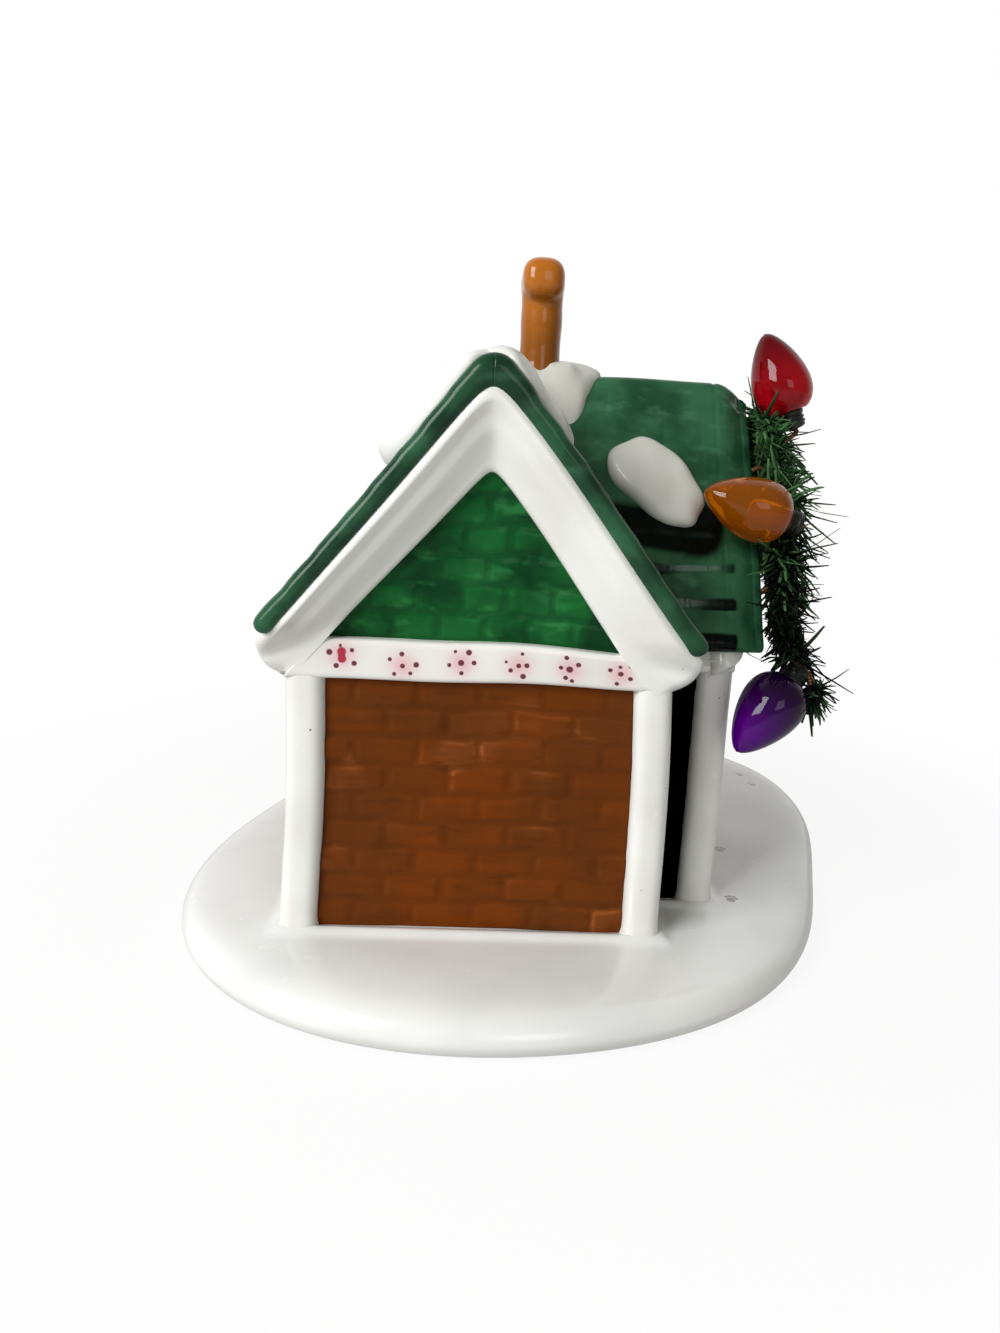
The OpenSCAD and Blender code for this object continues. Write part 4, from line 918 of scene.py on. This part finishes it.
def needles(path, count, seed):
    """Bent three-sided needles: each runs out from the wire on a golden-angle spiral and leans with its tuft, then
    droops and curls by the square and the cube of the way along it, with a crimp of a sine, and tapers to its tip. Long
    ones stand over short ones painted dark, as painted shade in the garland's core. The tone is also painted darker
    along the garland's middle and on its side towards the house, as painted shade. The needles thin out where the wire
    shows, and those that would meet a bulb or the roof, or hang too far below the eave, are left out."""
    rng = np.random.default_rng(seed)
    t = np.linspace(0, 1, 400)
    dense = np.cumsum(0.1 + (1.8 - 1.2 * t) / (1 + np.exp((t - 0.52) / 0.03)) + 1 / (1 + np.exp((0.65 - t) / 0.03)))
    t = np.interp(np.sort(rng.uniform(0.004, 0.996, count)), dense / dense[-1], t)
    along = lambda v: stack(*(np.interp(t, np.linspace(0, 1, len(path)), c) for c in v.T))
    at, ahead = along(path), unit(along(np.gradient(path, axis=0)))
    a = (GOLDEN * np.arange(count) + rng.normal(0, 0.5, count))[:, None]
    short = rng.uniform(size=count) < 0.5
    either = lambda if_short, if_long: np.where(short, if_short, if_long)[:, None]
    tufts = 18
    which = (t * tufts).astype(int)
    tuft = rng.uniform(0.55, 1.15, tufts)[which]
    lean = rng.normal(0, 0.45, (tufts, 3))[which] + [0.1, 0, -0.5]
    x = np.array([1.0, 0, 0])
    radial = np.cos(a) * x + np.sin(a) * np.cross(ahead, x)
    out = radial * either(1, 0.8) + ahead * either(rng.normal(0.2, 0.5, count), rng.normal(0.5, 0.8, count))
    out = out + either(0.2, 1.0) * lean + 0.4 * rng.normal(size=(count, 3))
    p = pitch("porch")
    out = unit(out + np.clip(-out[:, :1], 0, 1) * [0, np.sign(path[-1, 1]) * np.sin(p), np.cos(p)])
    waist = np.interp(t, [0.3, 0.4, 0.56, 0.64], [1, 0.72, 0.72, 1]) * (1 - 0.45 * np.clip(out[:, 0], 0, 1))
    long = either(rng.uniform(1.6, 3.8, count), rng.uniform(3.4, 6.6, count) * tuft * waist)
    inward = (t > 0.6) * (out[:, 0] < 0)
    long = long * (np.interp(t, [0.82, 1], [1, 0.45]) * (1 - 0.45 * inward))[:, None]
    bend = (rng.normal(0, 1.4, (count, 3)) + [0, 0, -2.2] - 0.8 * radial) * (long / 5)
    curl = rng.normal(0, 2.8, (count, 3)) * (long / 5)
    step = np.linspace(0, 1, 7)[:, None]
    line = at[:, None] + step * (out * long)[:, None] + step**2 * bend[:, None] + step**3 * curl[:, None]
    crimp = np.sin(9 * step + rng.uniform(0, 6.28, (count, 1, 1))) * step * (either(0, 1) * long / 5)[:, None]
    line = line + 0.42 * crimp * rng.normal(size=(count, 1, 3))
    # Painted shade: needles along the garland's middle and those on its side towards the house are darkened.
    shade = np.interp(t, [0, 0.28, 0.36, 0.58, 0.66, 0.8, 1], [1, 0.85, 0.06, 0.1, 0.8, 0.5, 0.5]) * (1 - 0.8 * inward)
    bright = rng.uniform(0, 1, count) ** np.where(t < 0.3, 0.7, 1.2)
    tone = np.where(short, 0.35 * np.clip(1 - t / 0.3, 0, 1), bright) * shade
    keep = clear(line) & over_roof(line) & (line[..., 2].min(1) > 28)
    line, out, tone, short = line[keep], out[keep], tone[keep], short[keep]
    side = unit(np.cross(out, [0.3, 0.2, 0.93]))
    q = np.radians([90, 210, 330])[:, None]
    ring = 1.6 * np.cos(q) * side[:, None] + 0.7 * np.sin(q) * np.cross(out, side)[:, None]
    ring = ring * either(1.5, 1.3 + 0.8 * tone)[:, None]
    taper = np.array([0.15, 0.16, 0.17, 0.17, 0.17, 0.15, 0.08])[:, None, None]
    return grid(line[:, :, None] + taper * ring[:, None], tone=tone[:, None, None], tip=step**2)


core = through(ROUTE, 240)
for k, m in SIDES.items():
    path = stack(core_x(core[:, 1]) + 0.5 * np.sin(np.linspace(0, 9, 240)), m * core[:, 0], core[:, 1])
    forward = np.array([1.0, 0, 0])
    cross = np.cross(unit(np.gradient(path, axis=0)), forward)
    twist = np.linspace(0, 2 * np.pi * 15, 240)[:, None]
    make("garland_" + k, needle_green, [needles(path, 6000, 31 + m)], even=True)
    make("garland_core_" + k, wire, [tube(path + 0.33 * (np.cos(a) * forward + np.sin(a) * cross), 0.34, 7)
                                     for a in (twist, twist + np.pi)], node=False, even=True)

# Wires
# Thin enamelled wires, bent by hand: ties that hold the garland to the roof's edge, and a short lead from each bulb's
# cap to the garland's core.
ties = []
for m in SIDES.values():
    for y, z in (on_route(14), on_route(36)):
        bow = [[43.9, m * y, z], [45.0, m * y, z + 0.5], [46.4, m * y, z + 0.2], [CORE_X, m * y, z]]
        ties.append(tube(through(bow, 24), 0.4))
make("garland_ties", wire, ties, even=True)

leads = []
for (cap, tip), l in zip(BULBS.values(), (9, 24, 48, 24, 48)):
    (y, z), v = on_route(l), (cap - tip) / BULB_LONG
    end = np.array([core_x(z), np.sign(cap[1]) * y, z])
    leads.append(tube(through([cap + 2.6 * v, cap + 3.6 * v, (cap + 4.2 * v + end) / 2, end], 24), 0.4))
make("bulb_wires", wire, leads, even=True)

# Bulbs
# Clear moulded plastic bulbs, tinted red, amber and purple: fat at the cap and drawn to a blunt point, with the hollow
# bore of the moulding pin inside. Each sits in a ribbed dark plastic cap.


def turned(profile, start, towards, sides=56, **marks):
    """A turned shape: the profile of radius and length, spun round the line from start towards a point."""
    ahead = unit(towards - start)
    spun = profile[:, None, :1] * spokes(ahead, [0.2, 0.9, 0.35], sides)
    return grid(start + profile[:, None, 1:] * ahead + spun, smooth_caps=True, **marks)


def tinted(name, thick, thin, clear_share):
    """Clear tinted plastic with faint flow lines of the moulding. Its tint runs from one colour at the cap to another
    at the tip, as painted light and shade.
    """
    g = Glaze(name, Transmission_Weight=clear_share, IOR=1.35, Specular_IOR_Level=0.35)
    colour = g.blend(g.rise(g.mark("along") + 0.2 * g.cloud(3), 0.3, 1.0), srgb(*thick), srgb(*thin))
    g.surface(colour, 0.03 + 0.05 * g.cloud(4), g.cloud(2.5, 1), 0.05)
    return g


# Painted light and shade: the red is brighter at its cap and darker at its tip, the purple darker at its cap, in the
# garland's shade.
red = tinted("red_plastic", (168, 0, 20), (108, 0, 12), 0.5)
amber = tinted("amber_plastic", (198, 112, 2), (194, 108, 2), 0.7)
purple = tinted("purple_plastic", (34, 0, 50), (88, 0, 130), 0.35)
u = 0.04 + 0.96 * np.linspace(0, 1, 46) ** 1.2
skin = stack(np.maximum(BULB_FAT * np.sin(np.pi * np.minimum(u, 0.9998) ** 0.62) ** 0.6, 0.05),
             BULB_LONG * (u - 0.04) / 0.96)
bore = through([[0.04, 6.2], [0.8, 6.0], [1.35, 5.2], [1.5, 4.0], [1.55, 2.0], [1.6, 0.25], [1.8, 0.0]], 24)
along = np.concatenate([np.zeros(len(bore)), skin[:, 1] / BULB_LONG])[:, None]
for (k, (cap, tip)), tint in zip(BULBS.items(), (red, amber, purple, purple, red)):
    make("bulb_" + k, tint, [turned(np.concatenate([bore, skin]), cap, tip, along=along)], even=True)

black = Glaze("bulb_cap", Specular_IOR_Level=0.4)
black.surface(black.blend(black.cloud(1.5, 3), srgb(10, 14, 11), srgb(26, 34, 27)), 0.25 + 0.3 * black.cloud(1.0),
              black.cloud(0.5), 0.03)
rib = np.linspace(-2.3, -0.5, 40)
CAP = np.concatenate([[[0.03, -3.0], [0.9, -2.98], [1.5, -2.85], [1.9, -2.6]], stack(2.0 + 0.12 * np.sin(rib * 9), rib),
                      [[2.15, -0.35], [2.2, -0.15], [2.1, 0.0], [1.9, 0.06], [0.03, 0.06]]])
make("bulb_caps", black, [turned(CAP, cap, tip, 40) for cap, tip in BULBS.values()], even=True)

# Studio
# A pale floor under a soft light from the upper left, a weak one from the right and a light sky. The camera stands
# where the photograph was taken from.
floor_mesh = bpy.data.meshes.new("floor")
floor_mesh.from_pydata([(-9, -9, -0.0001), (9, -9, -0.0001), (9, 9, -0.0001), (-9, 9, -0.0001)], [], [(0, 1, 2, 3)])
floor = bpy.data.objects.new("floor", floor_mesh)
bpy.context.scene.collection.objects.link(floor)
WHITE = (1, 1, 1, 1)
rays = lambda nodes: [nodes.node("ShaderNodeLightPath", out=k) for k in (0, 3, 6)]
paper = Glaze("floor_paper", Roughness=0.9, Specular_IOR_Level=0.1)
camera_ray, glossy, clear_ray = rays(paper)
paper.feed("Base Color", paper.blend(camera_ray, (0.5, 0.5, 0.5, 1), (0.92, 0.92, 0.92, 1)))
white_out = paper.node("ShaderNodeEmission", {}, {0: WHITE, 1: 1.0})
spread = paper.node("ShaderNodeVectorMath", {"operation": "LENGTH"}, {0: paper.mm}, out=1)
seen = camera_ray.most(glossy * 0.5).most(clear_ray) * (0.9 + 0.1 * paper.rise(spread, 70.0, 170.0))
mixed = paper.node("ShaderNodeMixShader", {}, {0: seen, 1: Flow(paper, paper.shader.outputs[0]), 2: white_out})
paper.tree.links.new(mixed.socket, paper.tree.nodes["Material Output"].inputs[0])
floor_mesh.materials.append(paper.material)

# The sky lights the object softly. It is white where it is seen directly or through the bulbs, and in reflections it is
# white behind the object and dim in front, as in a room.
world = bpy.data.worlds.new("sky")
bpy.context.scene.world = world
world.use_nodes = True
sky = Nodes(world.node_tree)
camera_ray, glossy, clear_ray = rays(sky)
behind = sky.part(sky.node("ShaderNodeTexCoord", out=3), 1)
seen = camera_ray.most(clear_ray).most(glossy * sky.rise(behind, -0.1, 0.4))
for k, flow in enumerate((sky.blend(seen, (1, 0.965, 0.88, 1), WHITE), 0.31 + 0.69 * seen)):
    sky.tree.links.new(flow.socket, sky.tree.nodes["Background"].inputs[k])


def placed(name, data, right, up, back, at):
    """Puts a lamp or the camera at a point, with its own axes to the right, up and back."""
    thing = bpy.data.objects.new(name, data)
    thing.matrix_world = Matrix(np.vstack([np.column_stack([right, up, back, at]), [0, 0, 0, 1]]).tolist())
    bpy.context.scene.collection.objects.link(thing)
    return thing


def softbox(name, at, towards, size, watts):
    """A square lamp at a point, turned towards another, with its sides level."""
    lamp = bpy.data.lights.new(name, "AREA")
    lamp.shape, lamp.size, lamp.size_y, lamp.energy = "RECTANGLE", size, size, watts
    back = unit(np.subtract(at, towards))
    right = unit(np.cross([0, 0, 1], back))
    placed(name, lamp, right, np.cross(back, right), back, at)


softbox("key", (-0.56, -0.5, 0.44), (0, -0.01, 0.05), 0.4, 6.4)
softbox("fill", (0.2, -0.8, 0.3), (0, 0, 0.05), 0.3, 0.6)

camera = bpy.data.cameras.new("camera")
camera.sensor_fit, camera.sensor_height, camera.lens = "VERTICAL", 36.0, 900 / 1333 * 36
camera.clip_start = 0.005
yaw, tilt, lean = np.radians([-2.08, 13.72, 2.72])
ahead = np.array([-np.sin(yaw) * np.cos(tilt), np.cos(yaw) * np.cos(tilt), -np.sin(tilt)])
right = np.array([np.cos(yaw), np.sin(yaw), 0])
up = np.cross(right, ahead)
right, up = np.cos(lean) * right + np.sin(lean) * up, np.cos(lean) * up - np.sin(lean) * right
bpy.context.scene.camera = placed("camera", camera, right, up, -ahead,
                                  (np.array([-2.0, -159.9, 72.1]) + HOUSE) * 0.001)
bpy.context.scene.view_settings.view_transform = "Standard"
